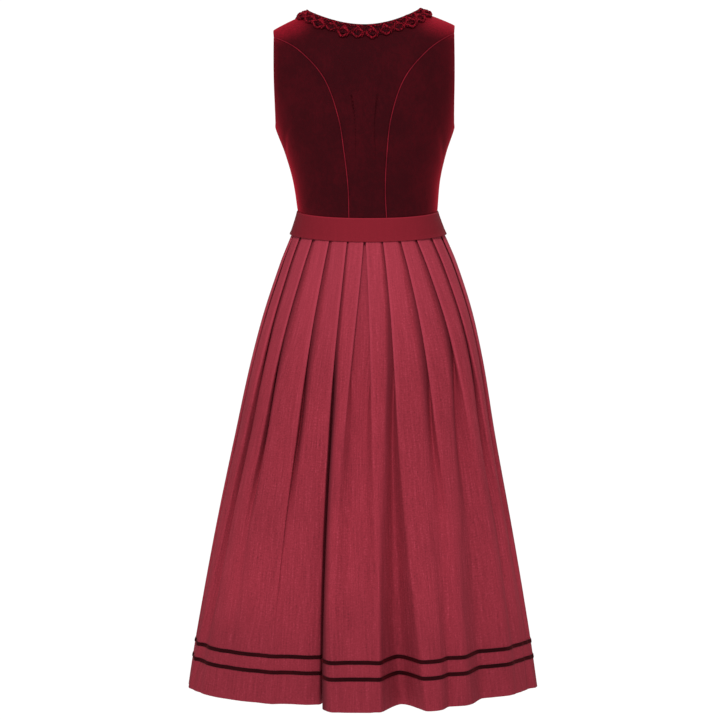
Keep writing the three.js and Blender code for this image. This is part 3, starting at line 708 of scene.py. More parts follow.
def centre_back():
    seam_share, neck_share = 0.9, 0.62
    side = lambda sign: lambda v: seam_and_armhole(
        np.asarray(v, float), seam_share, back_seam_at, False, sign, -SEAM_GAP / 2)
    waist = abs(float(side(1)(0.0)[0]))

    def top(u):
        w = 2 * u - 1
        across = np.abs(w)
        x, drop = neck_at(np.minimum(across / neck_share, 1) * np.pi / 2, 0, False)
        beyond = mix(NECK_HALF, SHOULDER_TIP, (across - neck_share) / (1 - neck_share))
        on_neck = across < neck_share
        sign = np.where(w < 0, -1.0, 1.0)
        return place(sign * np.where(on_neck, x, beyond),
                     np.where(on_neck, np.maximum(drop, SHOULDER_SEAM_DROP), SHOULDER_SEAM_DROP), False)
    bottom = lambda u: (mix(-waist, waist, u), np.full_like(u, WAIST_DROP))
    return velvet_panel("velvet_back_centre", (bottom, top, side(-1), side(1)), 110, 90)


def side_panel(sign, is_front):
    seam_at = front_seam_at if is_front else back_seam_at
    side_angle = 90.001 if is_front else 89.999
    inner = lambda v: place(*seam_at(v, SEAM_GAP / 2), is_front)
    seam_x, seam_top = seam_at(1.0, SEAM_GAP / 2)

    def top(u):
        drop = mix(seam_top, UNDERARM_DROP, np.sin(u * np.pi / 2))
        angle = place(mix(seam_x, armhole_x(drop), smooth(2 * u)), drop, is_front)[0]
        return mix(angle, side_angle, smooth(u * 4 - 3)), drop
    bottom = lambda u: (mix(inner(0.0)[0], side_angle, u), np.full_like(u, WAIST_DROP))
    end = lambda v: (np.full_like(v, side_angle, dtype=float), mix(WAIST_DROP, UNDERARM_DROP, v))
    name = f"velvet_{'front' if is_front else 'back'}_side_{'left' if sign > 0 else 'right'}"
    return velvet_panel(name, [mirrored(e, sign) for e in (bottom, top, inner, end)], 90, 44)


def centre_front(sign):
    seam_share, turn_share = 0.72, 0.55
    outer = lambda v: seam_and_armhole(
        np.asarray(v, float), seam_share, front_seam_at, True, 1, -SEAM_GAP / 2)
    outer_waist = float(outer(0.0)[0])

    def start(v):
        v = np.asarray(v, float)
        x, drop = neck_at(np.clip((v - turn_share) / (1 - turn_share), 0, 1) * np.pi / 2, 0, True)
        angle, neck_drop = place(np.maximum(x, CENTRE_GAP), np.maximum(drop, SHOULDER_SEAM_DROP), True)
        below = v < turn_share
        return (np.where(below, FRONT_EDGE, angle),
                np.where(below, mix(WAIST_DROP, FRONT_NECK_DROP, v / turn_share), neck_drop))
    bottom = lambda u: (mix(FRONT_EDGE, outer_waist, u), np.full_like(u, WAIST_DROP))
    top = lambda u: place(mix(NECK_HALF, SHOULDER_TIP, u), np.full_like(u, SHOULDER_SEAM_DROP), True)
    name = f"velvet_front_centre_{'left' if sign > 0 else 'right'}"
    return velvet_panel(name, [mirrored(e, sign) for e in (bottom, top, start, outer)], 100, 50)


velvet_pieces = {"back_centre": centre_back()}
for side_name, sign in (("left", 1), ("right", -1)):
    velvet_pieces[f"back_side_{side_name}"] = side_panel(sign, False)
    velvet_pieces[f"front_side_{side_name}"] = side_panel(sign, True)
    velvet_pieces[f"front_centre_{side_name}"] = centre_front(sign)
print("velvet panels:", len(velvet_pieces))

# %% [markdown]
# ## Piping in the back seams
#
# A thin cord covered with the same velvet is caught in each shaped back seam. Its pile is
# stretched over the cord, so it catches more light than the panels and draws the seam's line;
# here that light is painted, as lighter colours and a painted highlight. A curve with a round
# bevel would do, but a tube of rings can also carry the painted highlight.


# %% Piping
PIPING_RADIUS = 0.85
PIPING_SUNK = 0.45              # how deep the cord sits in its seam
PIPING_END = 0.985              # it is turned in just short of the armhole


def tube(name, line, up, radius, material, painted_lighting, sides=10):
    """A round closed tube along a line of points, its seam on the side away from up."""
    along = unit(np.gradient(line, axis=0))
    across = unit(np.cross(up, along))
    raised = np.cross(along, across)
    turns = (2 * np.pi * np.arange(sides) / sides)[:, None]
    rings = line[:, None] + radius * (raised[:, None] * np.cos(turns) + across[:, None] * np.sin(turns))
    points, quads = rolled(rings, line[[0, -1]])
    # a painted highlight along the whole tube, none on its two ends
    painted_lighting_values = np.append(np.repeat(painted_lighting, sides), [0, 0])
    return mesh_object(name, points, quads, material, None, {"painted_lighting": painted_lighting_values, "inside": painted_lighting_values * 0})


pipings = []
for side_name, sign in (("left", 1), ("right", -1)):
    shares = np.linspace(0, PIPING_END, 160)
    x, drop = back_seam_at(shares)
    angle, drop = place(sign * x, drop, False)
    line = lifted(angle, drop, np.full(160, SEAM_GAP + PIPING_RADIUS - PIPING_SUNK))
    # painted highlight along the cord, stronger and weaker by turns
    pipings.append(tube(f"piping_{side_name}", line, bodice_normal(angle, drop), PIPING_RADIUS,
                        piping_velvet, 0.3 + 0.2 * np.sin(shares * 40)))
    sew_in(pipings[-1], [f"back_piping_{side_name}"])
print("pipings:", [p.name for p in pipings])

# %% [markdown]
# ## The ruched trim round the neck
#
# A strip of velvet is laid in small box pleats, and the edges of every second pleat are caught
# together so that it opens like a little mouth. It repeats 36 times, so one mouth is
# modelled once, and Geometry Nodes set it along the neckline, each one turned to the surface
# under it and a little unlike its neighbours.

# %% The neck line
PUFF_PITCH = 25
MOUTH_WIDTH = 25                # as it is drawn, before it is fitted to the pitch
TRIM_LIFT = 0.8


def trim_place(t, share):
    """A place on the trim: t from -1 at the centre front round the back (0) to 1."""
    t = np.asarray(t, float)
    is_front = np.abs(t) > 0.5
    turn = np.where(is_front, (1 - np.abs(t)) * np.pi, np.abs(t) * np.pi)
    side = np.where(t < 0, -1.0, 1.0)
    back_x, back_drop = neck_at(turn, share, False)
    front_x, front_drop = neck_at(turn, share, True)
    back = place(side * back_x, back_drop, False)[0]
    front = place(side * np.maximum(front_x, CENTRE_GAP), front_drop, True)[0]
    return np.where(is_front, front, back), np.where(is_front, front_drop, back_drop)


fine = np.linspace(-1, 1, 4001)
neck_line = bodice_point(*trim_place(fine, 0.6))
neck_lengths = lengths_along(neck_line)
NECK_LENGTH = neck_lengths[-1]
PUFFS = 2 * round(NECK_LENGTH / PUFF_PITCH / 2)
turn_at = lambda share: np.interp(share * NECK_LENGTH, neck_lengths, fine)
print(f"the trim is {NECK_LENGTH / 1000:.2f} m long, with {PUFFS} mouths")


# %% The strip under the mouths
def trim_grid(shares_along, shares_across, lift_at):
    along, across = np.meshgrid(shares_along, shares_across)
    angle, drop = trim_place(turn_at(along), across)
    phase = along * PUFFS
    return lifted(angle, drop, TRIM_LIFT + lift_at(phase, across))


def strip_lift(phase, across):
    """The strip's own height: thin at its lower edge, rolled over the neck edge, pinched."""
    pinch = 0.5 - 0.5 * np.cos(2 * np.pi * phase)
    roll = 2.6 * np.sqrt(np.clip(1 - ((across - 0.08) / 0.2) ** 2, 0, 1))
    return 1.0 + roll + (0.5 + 1.2 * pinch) * np.sin(np.pi * np.clip(across, 0, 1)) ** 0.7


strip_columns = np.linspace(0, 1, PUFFS * 12 + 1)
strip_rows = np.array([-0.03, -0.02, 0.02, 0.07, 0.12, 0.18, 0.24, 0.3, 0.38, 0.48, 0.58, 0.66, 0.72,
                       0.76, 0.78])
strip_outer = trim_grid(strip_columns, strip_rows, strip_lift)
strip_inner = trim_grid(strip_columns, strip_rows, lambda phase, across: np.zeros_like(phase))
trim_strip = cloth_piece("trim_strip", strip_outer, strip_inner, trim_velvet)
print("strip:", [round(v, 3) for v in trim_strip["cut"]])


# %% One mouth, modelled once
def lip(line, wide, tall, painted_lighting, sides=8):
    """A soft roll of velvet along a line, on the flat: points, faces and a highlight painted on its top."""
    along = unit(np.gradient(line, axis=0))
    up = np.array([0, 0, 1.0])
    across = unit(np.cross(up, along))
    turns = 2 * np.pi * np.arange(sides) / sides
    rings = (line[:, None] + across[:, None] * (wide[:, None] * np.sin(turns))[..., None]
             + up * (tall[:, None] * np.cos(turns))[..., None])
    # painted highlight: strongest on the top of the roll, none underneath
    painted_highlight = painted_lighting * np.clip(1.5 * np.cos(turns) - 0.45, 0, 1)
    return *rolled(rings, line[[0, -1]]), np.append(np.tile(painted_highlight, len(line)), [0, 0])


def mouth_unit():
    """An oval mouth at the strip's lower edge, and the folds that cross above it."""
    turn = np.linspace(-np.pi, np.pi, 29) * 0.985
    ring = np.stack([9.4 * np.sin(turn) + 0.8 * np.sin(2 * turn), 17.8 - 6.6 * np.cos(turn),
                     2.2 + 0.9 * np.cos(turn) + 0.7 * np.cos(3 * turn)], -1)
    # the last number of each lip, 0.5 for the ring and the last of each fold, is the strength of the
    # highlight painted on its top
    parts = [lip(ring, 1.8 + 0.7 * np.cos(2 * turn + 0.6), 2.6 + 0.5 * np.cos(turn), 0.5)]
    folds = [  # from, by way of, to: each with x, y and height, then how bright its pile is
        ((-10.5, 13.5, 1.6), (-2.5, 8.0, 3.6), (6.5, 1.0, 2.6), 0.8),
        ((10.0, 14.5, 1.6), (3.0, 8.5, 3.2), (-6.0, 0.5, 2.8), 0.7),
        ((-12.5, 4.5, 2.4), (-1.0, 2.2, 3.8), (12.5, 5.5, 2.4), 0.5),
        ((-13.5, 12.0, 1.0), (-12.0, 18.5, 2.6), (-9.0, 24.0, 0.6), 0.6),
        ((9.5, 21.0, 0.6), (12.2, 16.5, 2.8), (11.0, 9.5, 1.2), 0.5),
        ((-6.0, 14.0, 0.4), (0.4, 12.6, 1.8), (5.4, 15.2, 0.4), 0.4),
    ]
    for *corners, painted_lighting in folds:
        line = smooth_line(np.array(corners), [7, 7])
        swell = np.sin(np.linspace(0.12, 0.88, len(line)) * np.pi)
        parts.append(lip(line, 0.5 + 0.8 * swell, 1.0 + 1.5 * swell, painted_lighting))
    points, quads, painted_lighting_values, count = [], [], [], 0
    for p, q, c in parts:
        points.append(p)
        quads.append(q + count)
        painted_lighting_values.append(c)
        count += len(p)
    return mesh_object("mouth_unit", np.concatenate(points), np.concatenate(quads), trim_velvet, None,
                       {"painted_lighting": np.concatenate(painted_lighting_values), "inside": np.zeros(count)})


# %% [markdown]
# ## A tree that sews small things along a line
#
# Mouths and stitches are the same job: one small thing, set many times along a line, turned to
# the line's direction and to the surface's outside. The line's points carry those two
# directions as attributes. The tree ends in real faces, because instances don't export.

# %% The sewing tree
INPUTS = [
    ("Points", "NodeSocketGeometry", None), ("Thing", "NodeSocketObject", None),
    ("Length", "NodeSocketFloat", 1.0), ("Width", "NodeSocketFloat", 1.0), ("Height", "NodeSocketFloat", 1.0),
    ("Unevenness", "NodeSocketFloat", 0.05), ("Seed", "NodeSocketInt", 1),
    ("Finish", "NodeSocketMaterial", None),
]


def sewing_tree():
    tree = bpy.data.node_groups.new("sewing", "GeometryNodeTree")
    for name, kind, value in INPUTS:
        socket = tree.interface.new_socket(name=name, in_out="INPUT", socket_type=kind)
        if value is not None:
            socket.default_value = value
    tree.interface.new_socket(name="Sewn", in_out="OUTPUT", socket_type="NodeSocketGeometry")

    def node(kind, settings=None, links=None):
        made = tree.nodes.new(kind)
        for name, value in (settings or {}).items():
            setattr(made, name, value)
        for key, value in (links or {}).items():
            if isinstance(value, bpy.types.NodeSocket):
                tree.links.new(value, made.inputs[key])
            else:
                made.inputs[key].default_value = value
        return made

    given = node("NodeGroupInput").outputs
    out = node("GeometryNodeInputNamedAttribute", {"data_type": "FLOAT_VECTOR"}, {"Name": "out"})
    along = node("GeometryNodeInputNamedAttribute", {"data_type": "FLOAT_VECTOR"}, {"Name": "along"})
    turned = node("FunctionNodeAxesToRotation", {"primary_axis": "Z", "secondary_axis": "X"},
                  {"Primary Axis": out.outputs[0], "Secondary Axis": along.outputs[0]})
    spread = node("FunctionNodeRandomValue", {"data_type": "FLOAT_VECTOR"}, {
        "Min": (-1, -1, -1), "Max": (1, 1, 1), "Seed": given["Seed"]})
    uneven = node("ShaderNodeVectorMath", {"operation": "SCALE"}, {
        0: spread.outputs[0], "Scale": given["Unevenness"]})
    around_one = node("ShaderNodeVectorMath", {"operation": "ADD"}, {0: uneven.outputs[0], 1: (1, 1, 1)})
    sizes = node("ShaderNodeCombineXYZ", None, {0: given["Length"], 1: given["Width"], 2: given["Height"]})
    scale = node("ShaderNodeVectorMath", {"operation": "MULTIPLY"}, {
        0: around_one.outputs[0], 1: sizes.outputs[0]})
    dots = node("GeometryNodeMeshToPoints", None, {0: given["Points"]})
    thing = node("GeometryNodeObjectInfo", {"transform_space": "ORIGINAL"}, {"Object": given["Thing"]})
    placed = node("GeometryNodeInstanceOnPoints", None, {
        "Points": dots.outputs[0], "Instance": thing.outputs["Geometry"],
        "Rotation": turned.outputs[0], "Scale": scale.outputs[0]})
    real = node("GeometryNodeRealizeInstances", None, {0: placed.outputs[0]})
    finished = node("GeometryNodeSetMaterial", None, {
        "Geometry": real.outputs[0], "Material": given["Finish"]})
    node("NodeGroupOutput", None, {0: finished.outputs[0]})
    return tree


SEWING = sewing_tree()


def sew_along(name, points, along, out, thing, material, sizes=(1, 1, 1), unevenness=0.05, seed=1):
    """Sets a thing at each point, in one real mesh."""
    mesh = bpy.data.meshes.new(name)
    mesh.from_pydata((points * MM).tolist(), [], [])
    for key, vectors in (("along", along), ("out", out)):
        mesh.attributes.new(key, "FLOAT_VECTOR", "POINT").data.foreach_set("vector", np.ravel(vectors))
    made = bpy.data.objects.new(name, mesh)
    scene.collection.objects.link(made)
    modifier = made.modifiers.new("sewing", "NODES")
    modifier.node_group = SEWING
    values = {"Thing": thing, "Length": sizes[0], "Width": sizes[1], "Height": sizes[2],
              "Unevenness": unevenness, "Seed": seed, "Finish": material}
    for item in SEWING.interface.items_tree:
        if item.in_out == "INPUT" and item.name in values:
            modifier[item.identifier] = values[item.name]
    bpy.context.view_layer.update()
    evaluated = made.evaluated_get(bpy.context.evaluated_depsgraph_get())
    sewn = bpy.data.meshes.new_from_object(evaluated)
    made.modifiers.remove(modifier)
    made.data = sewn
    print(f"{name}: {len(points)} times, {len(sewn.polygons)} faces")
    return made


def throw_away(thing):
    bpy.data.objects.remove(thing, do_unlink=True)


# %% Mouths along the neck
mouth = mouth_unit()
centres = (np.arange(PUFFS) + 0.5) / PUFFS
at_mouths = lambda share: trim_place(turn_at(centres), share)
mouth_out = bodice_normal(*at_mouths(0.5))
before = bodice_point(*trim_place(turn_at(centres - 0.004), 0.5))
after = bodice_point(*trim_place(turn_at(centres + 0.004), 0.5))
mouth_along = unit(after - before)
# the unit's own y runs from the neck edge (0) down to the lower edge of the trim
edge_points = lifted(*at_mouths(0.0), np.full(PUFFS, TRIM_LIFT + 1.0))
down_direction = bodice_point(*at_mouths(1.0)) - edge_points
flip = np.einsum("ij,ij->i", np.cross(mouth_out, mouth_along), down_direction) < 0
mouth_along = np.where(flip[:, None], -mouth_along, mouth_along)
low_points = lifted(*at_mouths(1.0), np.full(PUFFS, TRIM_LIFT + 1.0))
mouth_down = unit(low_points - edge_points)
mouth_out = unit(np.cross(mouth_along, mouth_down))
mouths = sew_along("trim_mouths", edge_points, mouth_along, mouth_out, mouth, trim_velvet,
                   (PUFF_PITCH / MOUTH_WIDTH, 1.0, 1.0), 0.16, 4)
throw_away(mouth)
sew_in(mouths, [])
sew_in(trim_strip, ["neck_trim"], "gathered")

# %% [markdown]
# ## The skirt
#
# The skirt is laid in knife pleats at the waist that open into soft waves. Each pleat is one
# row of a table: where its fold edge runs, where the bottom of the fold lies and how deep it
# is, at the waist, the middle and the hem. A simulation would fold the cloth too, but never into
# these folds. So at every height the same few points of each pleat are joined by a smooth curve.

# %% The skirt's sections and pleats
BAND_DEPTH = 42
BAND_BOTTOM = -(WAIST_DROP + BAND_DEPTH)
HEM_RISE = {"left": 5, "right": 3}
HEM_RISE_FROM = -1050
SKIRT_TOP = -383
HEM_HEIGHT = -1224
MIDDLE_HEIGHT = -700
LAYER_PITCH = 1.8
FOLD_DEPTH = 23
SIDE_SEAM_FACE = 5
FADE_HEIGHT = 230
TUCK = 0.5
SKIRT_EDGE = 179.998
SKIRT_WALL = 0.8
SKIRT_SECTIONS = table(("z", "half", "back", "front"),
    (-383, 136, 107, 104), (-396, 142, 112, 110), (-440, 160, 125, 124), (-529, 189, 142, 144),
    (-618, 210, 153, 158), (-751, 235, 162, 174), (-928, 270, 167, 192), (-1106, 303, 168, 207),
    (-1224, 323, 168, 214))
# crest: waist, middle and hem; the others: middle and hem. Angles in degrees from the centre
# back, depth (inwards) and swell (outwards) in millimetres.
PLEAT_COLUMNS = ("crest", "valley", "edge", "depth", "swell", "fade")
PLEATS = {
    "left": [
        ((3.8, 9.4, 7.5), (6, 4.5), (0, 0), (13, -43), (3, 42), 0),
        ((16.2, 17, 15.5), (16.4, 12), (15.2, 13), (20, 50), (1, -12), 0),
        ((30.6, 31.7, 33), (32.4, 31), (29.6, 28), (17, 3), (4, -2), 0.85),
        ((46.7, 51.9, 56), (52.4, 53), (49.8, 50), (17, 3), (4, 0), 0.85),
        ((64, 65, 80), (65.4, 76), (62.8, 72), (18, 4), (5, 1), 0.5),
        ((80.5, 81, 92), (81.5, 88), (78.5, 85), (14, 6), (2, 0), 0.5),
        ((96, 95, 104), (95.5, 100), (92.5, 97), (12, 8), (1, 0), 0.5),
        ((110, 109, 115), (109.5, 111), (106, 108), (15, 12), (2, 2), 0.3),
        ((123, 122.5, 126), (122.5, 122), (119, 118.5), (13, 8), (1, 0), 0.6),
        ((137, 136.5, 138.5), (136.5, 133.5), (133, 129.5), (17, 20), (3, 6), 0),
        ((151, 150.5, 151), (150.5, 147), (147, 143.5), (13, 8), (1, 0), 0.6),
        ((165.5, 165.5, 165), (165, 160.5), (161.5, 156.5), (16, 17), (2, 5), 0.1),
    ],
    "right": [
        ((-1.7, 2.8, 3.4), (0.2, 1.4), (0, 0), (13, -43), (3, 40), 0),
        ((11.1, 14.4, 19.2), (13, 12.2), (9.4, 6.8), (18, 22), (3, 42), 0),
        ((25, 32.6, 31), (32.4, 27.5), (28.6, 24.5), (13, -12), (3, 14), 0.7),
        ((39.3, 53.5, 58), (50, 44), (45, 37.5), (18, 36), (3, -15), 0.6),
        ((56.6, 68, 76), (68, 71), (64, 67), (17, 20), (3, -17), 0.75),
        ((76, 81, 88), (81, 84), (77.5, 81), (14, 8), (3, -4), 0.6),
        ((91, 94, 99), (93.5, 95.5), (90, 92), (13, 5), (1, -1), 0.5),
        ((106, 107.5, 110.5), (107, 106.5), (103.5, 103), (13, 8), (0, 0), 0.5),
        ((120, 121, 123.5), (120.5, 119), (117, 115.5), (15, 18), (2, 4), 0),
        ((134.5, 135, 136.5), (134.5, 132), (131, 128.5), (13, 10), (1, 0), 0.5),
        ((149.5, 149.5, 151.5), (149, 146.5), (145.5, 142.5), (16, 20), (3, 6), 0),
        ((165, 165.5, 165), (165, 160.5), (161.5, 157), (13, 9), (1, 1), 0.5),
    ],
}
PLEATS = {side: table(PLEAT_COLUMNS, *rows) for side, rows in PLEATS.items()}


def three_levels(values, z):
    """A value given at the waist, the middle and the hem, at height z."""
    waist, middle, hem = values
    t = (z - BAND_BOTTOM) / (HEM_HEIGHT - BAND_BOTTOM)
    m = (MIDDLE_HEIGHT - BAND_BOTTOM) / (HEM_HEIGHT - BAND_BOTTOM)
    return (waist * ((t - m) * (t - 1)) / m + middle * (t * (t - 1)) / (m * (m - 1))
            + hem * (t * (t - m)) / (1 - m))


def crest_at(pleat, z):
    return three_levels(pleat["crest"], z)


def swell_at(pleat, z):
    return three_levels((0, *pleat["swell"]), z)


def skirt_reach(z, is_back):
    """How far the skirt reaches to each side, and to the back or to the front."""
    half, back, front = (column(SKIRT_SECTIONS, "z", name, z) for name in ("half", "back", "front"))
    return half, np.where(is_back, back, front)


def skirt_point(angle, z, depth):
    angle, z, depth = np.broadcast_arrays(*(np.asarray(v, float) for v in (angle, z, depth)))
    c, s = np.cos(np.radians(angle)), np.sin(np.radians(angle))
    half, deep = skirt_reach(z, c > 0)
    out = unit(np.stack([s * deep, c * half], -1))
    return np.stack([sway_at(z) + half * s - out[..., 0] * depth, deep * c - out[..., 1] * depth, z], -1)


def degrees_per_millimetre(angle, z):
    return 0.1 / np.linalg.norm(skirt_point(angle, z, 0) - skirt_point(angle + 0.1, z, 0), axis=-1)


print("pleats:", sum(len(rows) for rows in PLEATS.values()))


# %% One pleat at every height
def opened(z):
    """How far the pleats have opened into waves: 0 at the band, 1 from the middle down."""
    return smooth((BAND_BOTTOM - 8 - z) / (BAND_BOTTOM - 8 - MIDDLE_HEIGHT))


def folded_under(crest, next_crest, z):
    return np.minimum(FOLD_DEPTH, (next_crest - crest) / degrees_per_millimetre(crest, z) - 8)


def pleat_points(previous, pleat, following, z):
    """The points of one pleat, from the crest of the one before it to its own crest."""
    opening = opened(z)
    start, crest = crest_at(previous, z), crest_at(pleat, z)
    scale, start_scale = degrees_per_millimetre(crest, z), degrees_per_millimetre(start, z)
    face_under = folded_under(start, crest, z)
    under = folded_under(crest, crest_at(following, z) if following else 180, z)
    swell, own_swell = swell_at(previous, z), swell_at(pleat, z)
    level = lambda name, waist: three_levels((waist, *pleat[name]), z)
    valley, edge = level("valley", crest), level("edge", crest - 2)
    fading = pleat["fade"] * smooth((MIDDLE_HEIGHT - z) / FADE_HEIGHT)
    depth = mix(level("depth", 2 * LAYER_PITCH), -own_swell, fading)
    edge_depth = mix(-swell, depth, 0.3)
    bent = lambda folded_angle, folded_depth, open_angle, open_depth: (
        mix(folded_angle, open_angle, opening), mix(folded_depth, open_depth, opening))
    return [
        bent(start + 0.5 * face_under * start_scale, 0, mix(start, edge, 0.4), -swell),
        bent(start + (face_under + 1.5) * start_scale, 0,
             mix(start, edge, 0.75), mix(-swell, edge_depth, 0.45)),
        bent(crest - 1.6 * scale, 2 * LAYER_PITCH, edge, edge_depth),
        bent(crest + under * scale, 2 * LAYER_PITCH, valley, depth),
        bent(crest + under * scale, LAYER_PITCH, valley + np.maximum(0.35 * (crest - valley), TUCK),
             mix(depth, -own_swell, 0.12)),
        bent(crest, LAYER_PITCH, mix(valley, crest, 0.78), mix(depth, -own_swell, 0.68)),
        bent(crest, 0, crest, -own_swell),
    ]


def centre_pleat(z):
    """The inverted pleat at the centre back joins the first crests of both sides."""
    opening = opened(z)
    path = []
    for side, sign in (("right", -1), ("left", 1)):
        pleat, following = PLEATS[side][:2]
        crest, swell = crest_at(pleat, z), swell_at(pleat, z)
        depth = three_levels((2 * LAYER_PITCH, *pleat["depth"]), z)
        under = folded_under(crest, crest_at(following, z), z) * degrees_per_millimetre(crest, z)
        bottom = sign * three_levels((crest, *pleat["valley"]), z)
        edge = sign * crest
        half = [
            (edge, mix(0, -swell, opening)),
            (mix(edge, mix(bottom, edge, 0.7), opening), mix(LAYER_PITCH, mix(depth, -swell, 0.6), opening)),
            (mix(sign * (crest + under), mix(bottom, edge, 0.3), opening),
             mix(LAYER_PITCH, mix(depth, -swell, 0.1), opening)),
            (mix(sign * (crest + under), bottom + sign * 0.4, opening), mix(2 * LAYER_PITCH, depth, opening)),
        ]
        path.extend(half if sign < 0 else half[::-1])
    return path


STEPS = 4                       # fine steps between two points of the section
# Soft waves that the cloth takes by itself: angle, lean, heights, width and depth.
SOFT_FOLDS = table(("angle", "lean", "top", "bottom", "width", "depth"),
    (18.5, -1.5, -620, -1290, 1.8, 6.5), (12, 3, -560, -1240, 2.6, 2.2), (24, 2, -820, -1260, 2.2, 1.8),
    (37, 1, -620, -1300, 2.8, 2.6), (53, -1, -540, -1150, 2.6, 2.0), (69, 0, -700, -1300, 2.6, 2.4),
    (97, 0, -600, -1240, 2.6, 2.2), (113, 1, -760, -1300, 2.4, 2.0), (142, 0, -640, -1260, 2.8, 2.4),
    (172, -1, -700, -1300, 2.6, 2.0), (-14, -2, -640, -1300, 2.4, 2.2),
    (-26, -1, -560, -1100, 2.4, 1.8), (-51, 2, -520, -1180, 2.6, 2.2), (-68, 0, -660, -1300, 2.8, 2.6),
    (-83, 0, -600, -1160, 2.4, 1.8), (-112, -1, -620, -1300, 2.6, 2.4),
    (-128, 1, -780, -1300, 2.4, 2.0), (-158, 0, -620, -1240, 2.8, 2.2))


def soft_fold_depth(angle, z):
    total = np.zeros_like(angle)
    for fold in SOFT_FOLDS:
        t = (z - fold["top"]) / (fold["bottom"] - fold["top"])
        fade = smooth(t * 3) * smooth((1.25 - t) * 3)
        across = (angle - fold["angle"] - fold["lean"] * t) / fold["width"]
        total += fold["depth"] * fade * np.exp(-across ** 2)
    return total


def skirt_section(z):
    """Fine points of the whole section at heights z, and where the two side seams cut it."""
    z = np.asarray(z, float)

    def half(side, sign):
        rows, path, cut = PLEATS[side], [], 0
        for k in range(1, len(rows)):
            if k == SIDE_SEAM_FACE + 1:
                cut = len(path)
            path += pleat_points(rows[k - 1], rows[k], rows[k + 1] if k + 1 < len(rows) else None, z)
        last, last_swell = crest_at(rows[-1], z), swell_at(rows[-1], z)
        path += [(mix(last, SKIRT_EDGE, share), mix(-last_swell, 0, share)) for share in (0.3, 0.65, 1)]
        return [(sign * angle, depth) for angle, depth in path], cut
    (right, right_cut), (left, left_cut) = half("right", -1), half("left", 1)
    middle = centre_pleat(z)
    path = right[::-1] + middle + left
    cuts = [len(right) - 1 - right_cut, len(right) + len(middle) + left_cut]
    plan = np.stack([skirt_point(angle, z, depth)[:, :2] for angle, depth in path], 1)
    line = smooth_line(plan, [STEPS] * (plan.shape[1] - 1))
    z_grid = np.broadcast_to(z[:, None], line.shape[:2])
    half_width, deep = skirt_reach(z_grid, line[..., 1] > 0)
    angle = np.degrees(np.arctan2((line[..., 0] - sway_at(z_grid)) / half_width, line[..., 1] / deep))
    inward = unit(np.stack([line[..., 0] - sway_at(z_grid), line[..., 1]], -1)) * -1
    line = line + inward * soft_fold_depth(angle, z_grid)[..., None]
    rise = np.where(angle < 0, HEM_RISE["right"], HEM_RISE["left"])
    climb = (rise * np.sin(np.radians(angle)) ** 4
             * smooth((HEM_RISE_FROM - z_grid) / (HEM_RISE_FROM - HEM_HEIGHT)))
    return np.concatenate([line, (z_grid + climb)[..., None]], -1), [cut * STEPS for cut in cuts]


def offset_section(rows, lift):
    """Moves each row of points sideways by lift, to the outside where lift is positive."""
    before = unit(np.diff(rows[..., :2], axis=1, prepend=2 * rows[:, :1, :2] - rows[:, 1:2, :2]))
    after = unit(np.diff(rows[..., :2], axis=1, append=2 * rows[:, -1:, :2] - rows[:, -2:-1, :2]))
    bisector = unit(before + after)
    normal = np.stack([-bisector[..., 1], bisector[..., 0]], -1)
    side = np.stack([-before[..., 1], before[..., 0]], -1)
    stretch = np.minimum(1.4, 1 / np.maximum(0.5, (normal * side).sum(-1)))
    moved = rows.copy()
    moved[..., :2] += normal * (stretch * np.broadcast_to(lift, stretch.shape))[..., None]
    return moved


SKIRT_ROWS = np.concatenate([np.linspace(SKIRT_TOP, -430, 12), np.linspace(-436, -700, 34),
                             np.linspace(-709, -1190, 48), np.linspace(-1196, HEM_HEIGHT, 6)])
section_rows, cuts = skirt_section(SKIRT_ROWS)
print("skirt section:", section_rows.shape, "side seams at", cuts)


# %% Skirt panels
PANELS = ("front_right", "back", "front_left")
HEM_TURN = 36                   # the hem is turned up this far on the inside
HEM_LAYER = 0.7                 # and is this much thicker there
SEAM_SHIFT = SEAM_GAP * 0.15    # so little that no light shows through the side seams
COLUMNS = section_rows.shape[1]
panel_ends = [0, *cuts, COLUMNS - 1]
panel_columns = {name: slice(panel_ends[k], panel_ends[k + 1] + 1) for k, name in enumerate(PANELS)}


def panel_slice(rows, name):
    piece = rows[:, panel_columns[name]].copy()
    for end, following in ((0, 1), (-1, -2)):
        piece[:, end] += unit(piece[:, following] - piece[:, end]) * SEAM_SHIFT
    return piece


# points of the section in each pleat, past the last one, and at the centre back
POINTS = {"pleat": 7, "ends": 3, "middle": 8}
right_crest = (len(PLEATS["left"]) - 1) * POINTS["pleat"] + POINTS["ends"]
left_crest = right_crest + POINTS["middle"] - 1


def edge_columns(onward, reach):
    """1 at the columns that lie some points onward from each crest, and 0 from reach on."""
    found = []
    # past the last pleat nothing is tucked under
    for k in range(len(PLEATS["left"]) - (1 if onward else 0)):
        found.append(right_crest - POINTS["pleat"] * k - onward)
        found.append(left_crest + POINTS["pleat"] * k + onward)
    away = np.abs(np.arange(COLUMNS)[:, None] - np.array(found) * STEPS).min(1)
    return np.clip(1 - away / reach, 0, 1)


heights = SKIRT_ROWS[:, None]
# painted highlight along the pleats' fold edges, fading out lower down
painted_crest_highlight = edge_columns(0, 2) * smooth((heights + 820) / 300)
# painted shade where each face tucks under the next fold edge
painted_tuck_shade = edge_columns(3, 3) * smooth((heights + 860) / 330)
# painted shadow: the deep fold beside the centre back is painted dark down to the hem
beside_centre = np.arange(COLUMNS) / STEPS - left_crest
painted_deep_fold_shade = np.interp(beside_centre, [1.5, 2.5, 4.5, 6.2], [0, 1, 1, 0]) * smooth((-540 - heights) / 160)
# painted light near the top of the skirt and painted shade towards the hem
painted_height_lighting = 0.22 * smooth((heights + 680) / 260) - 0.3 * smooth((-980 - heights) / 200)
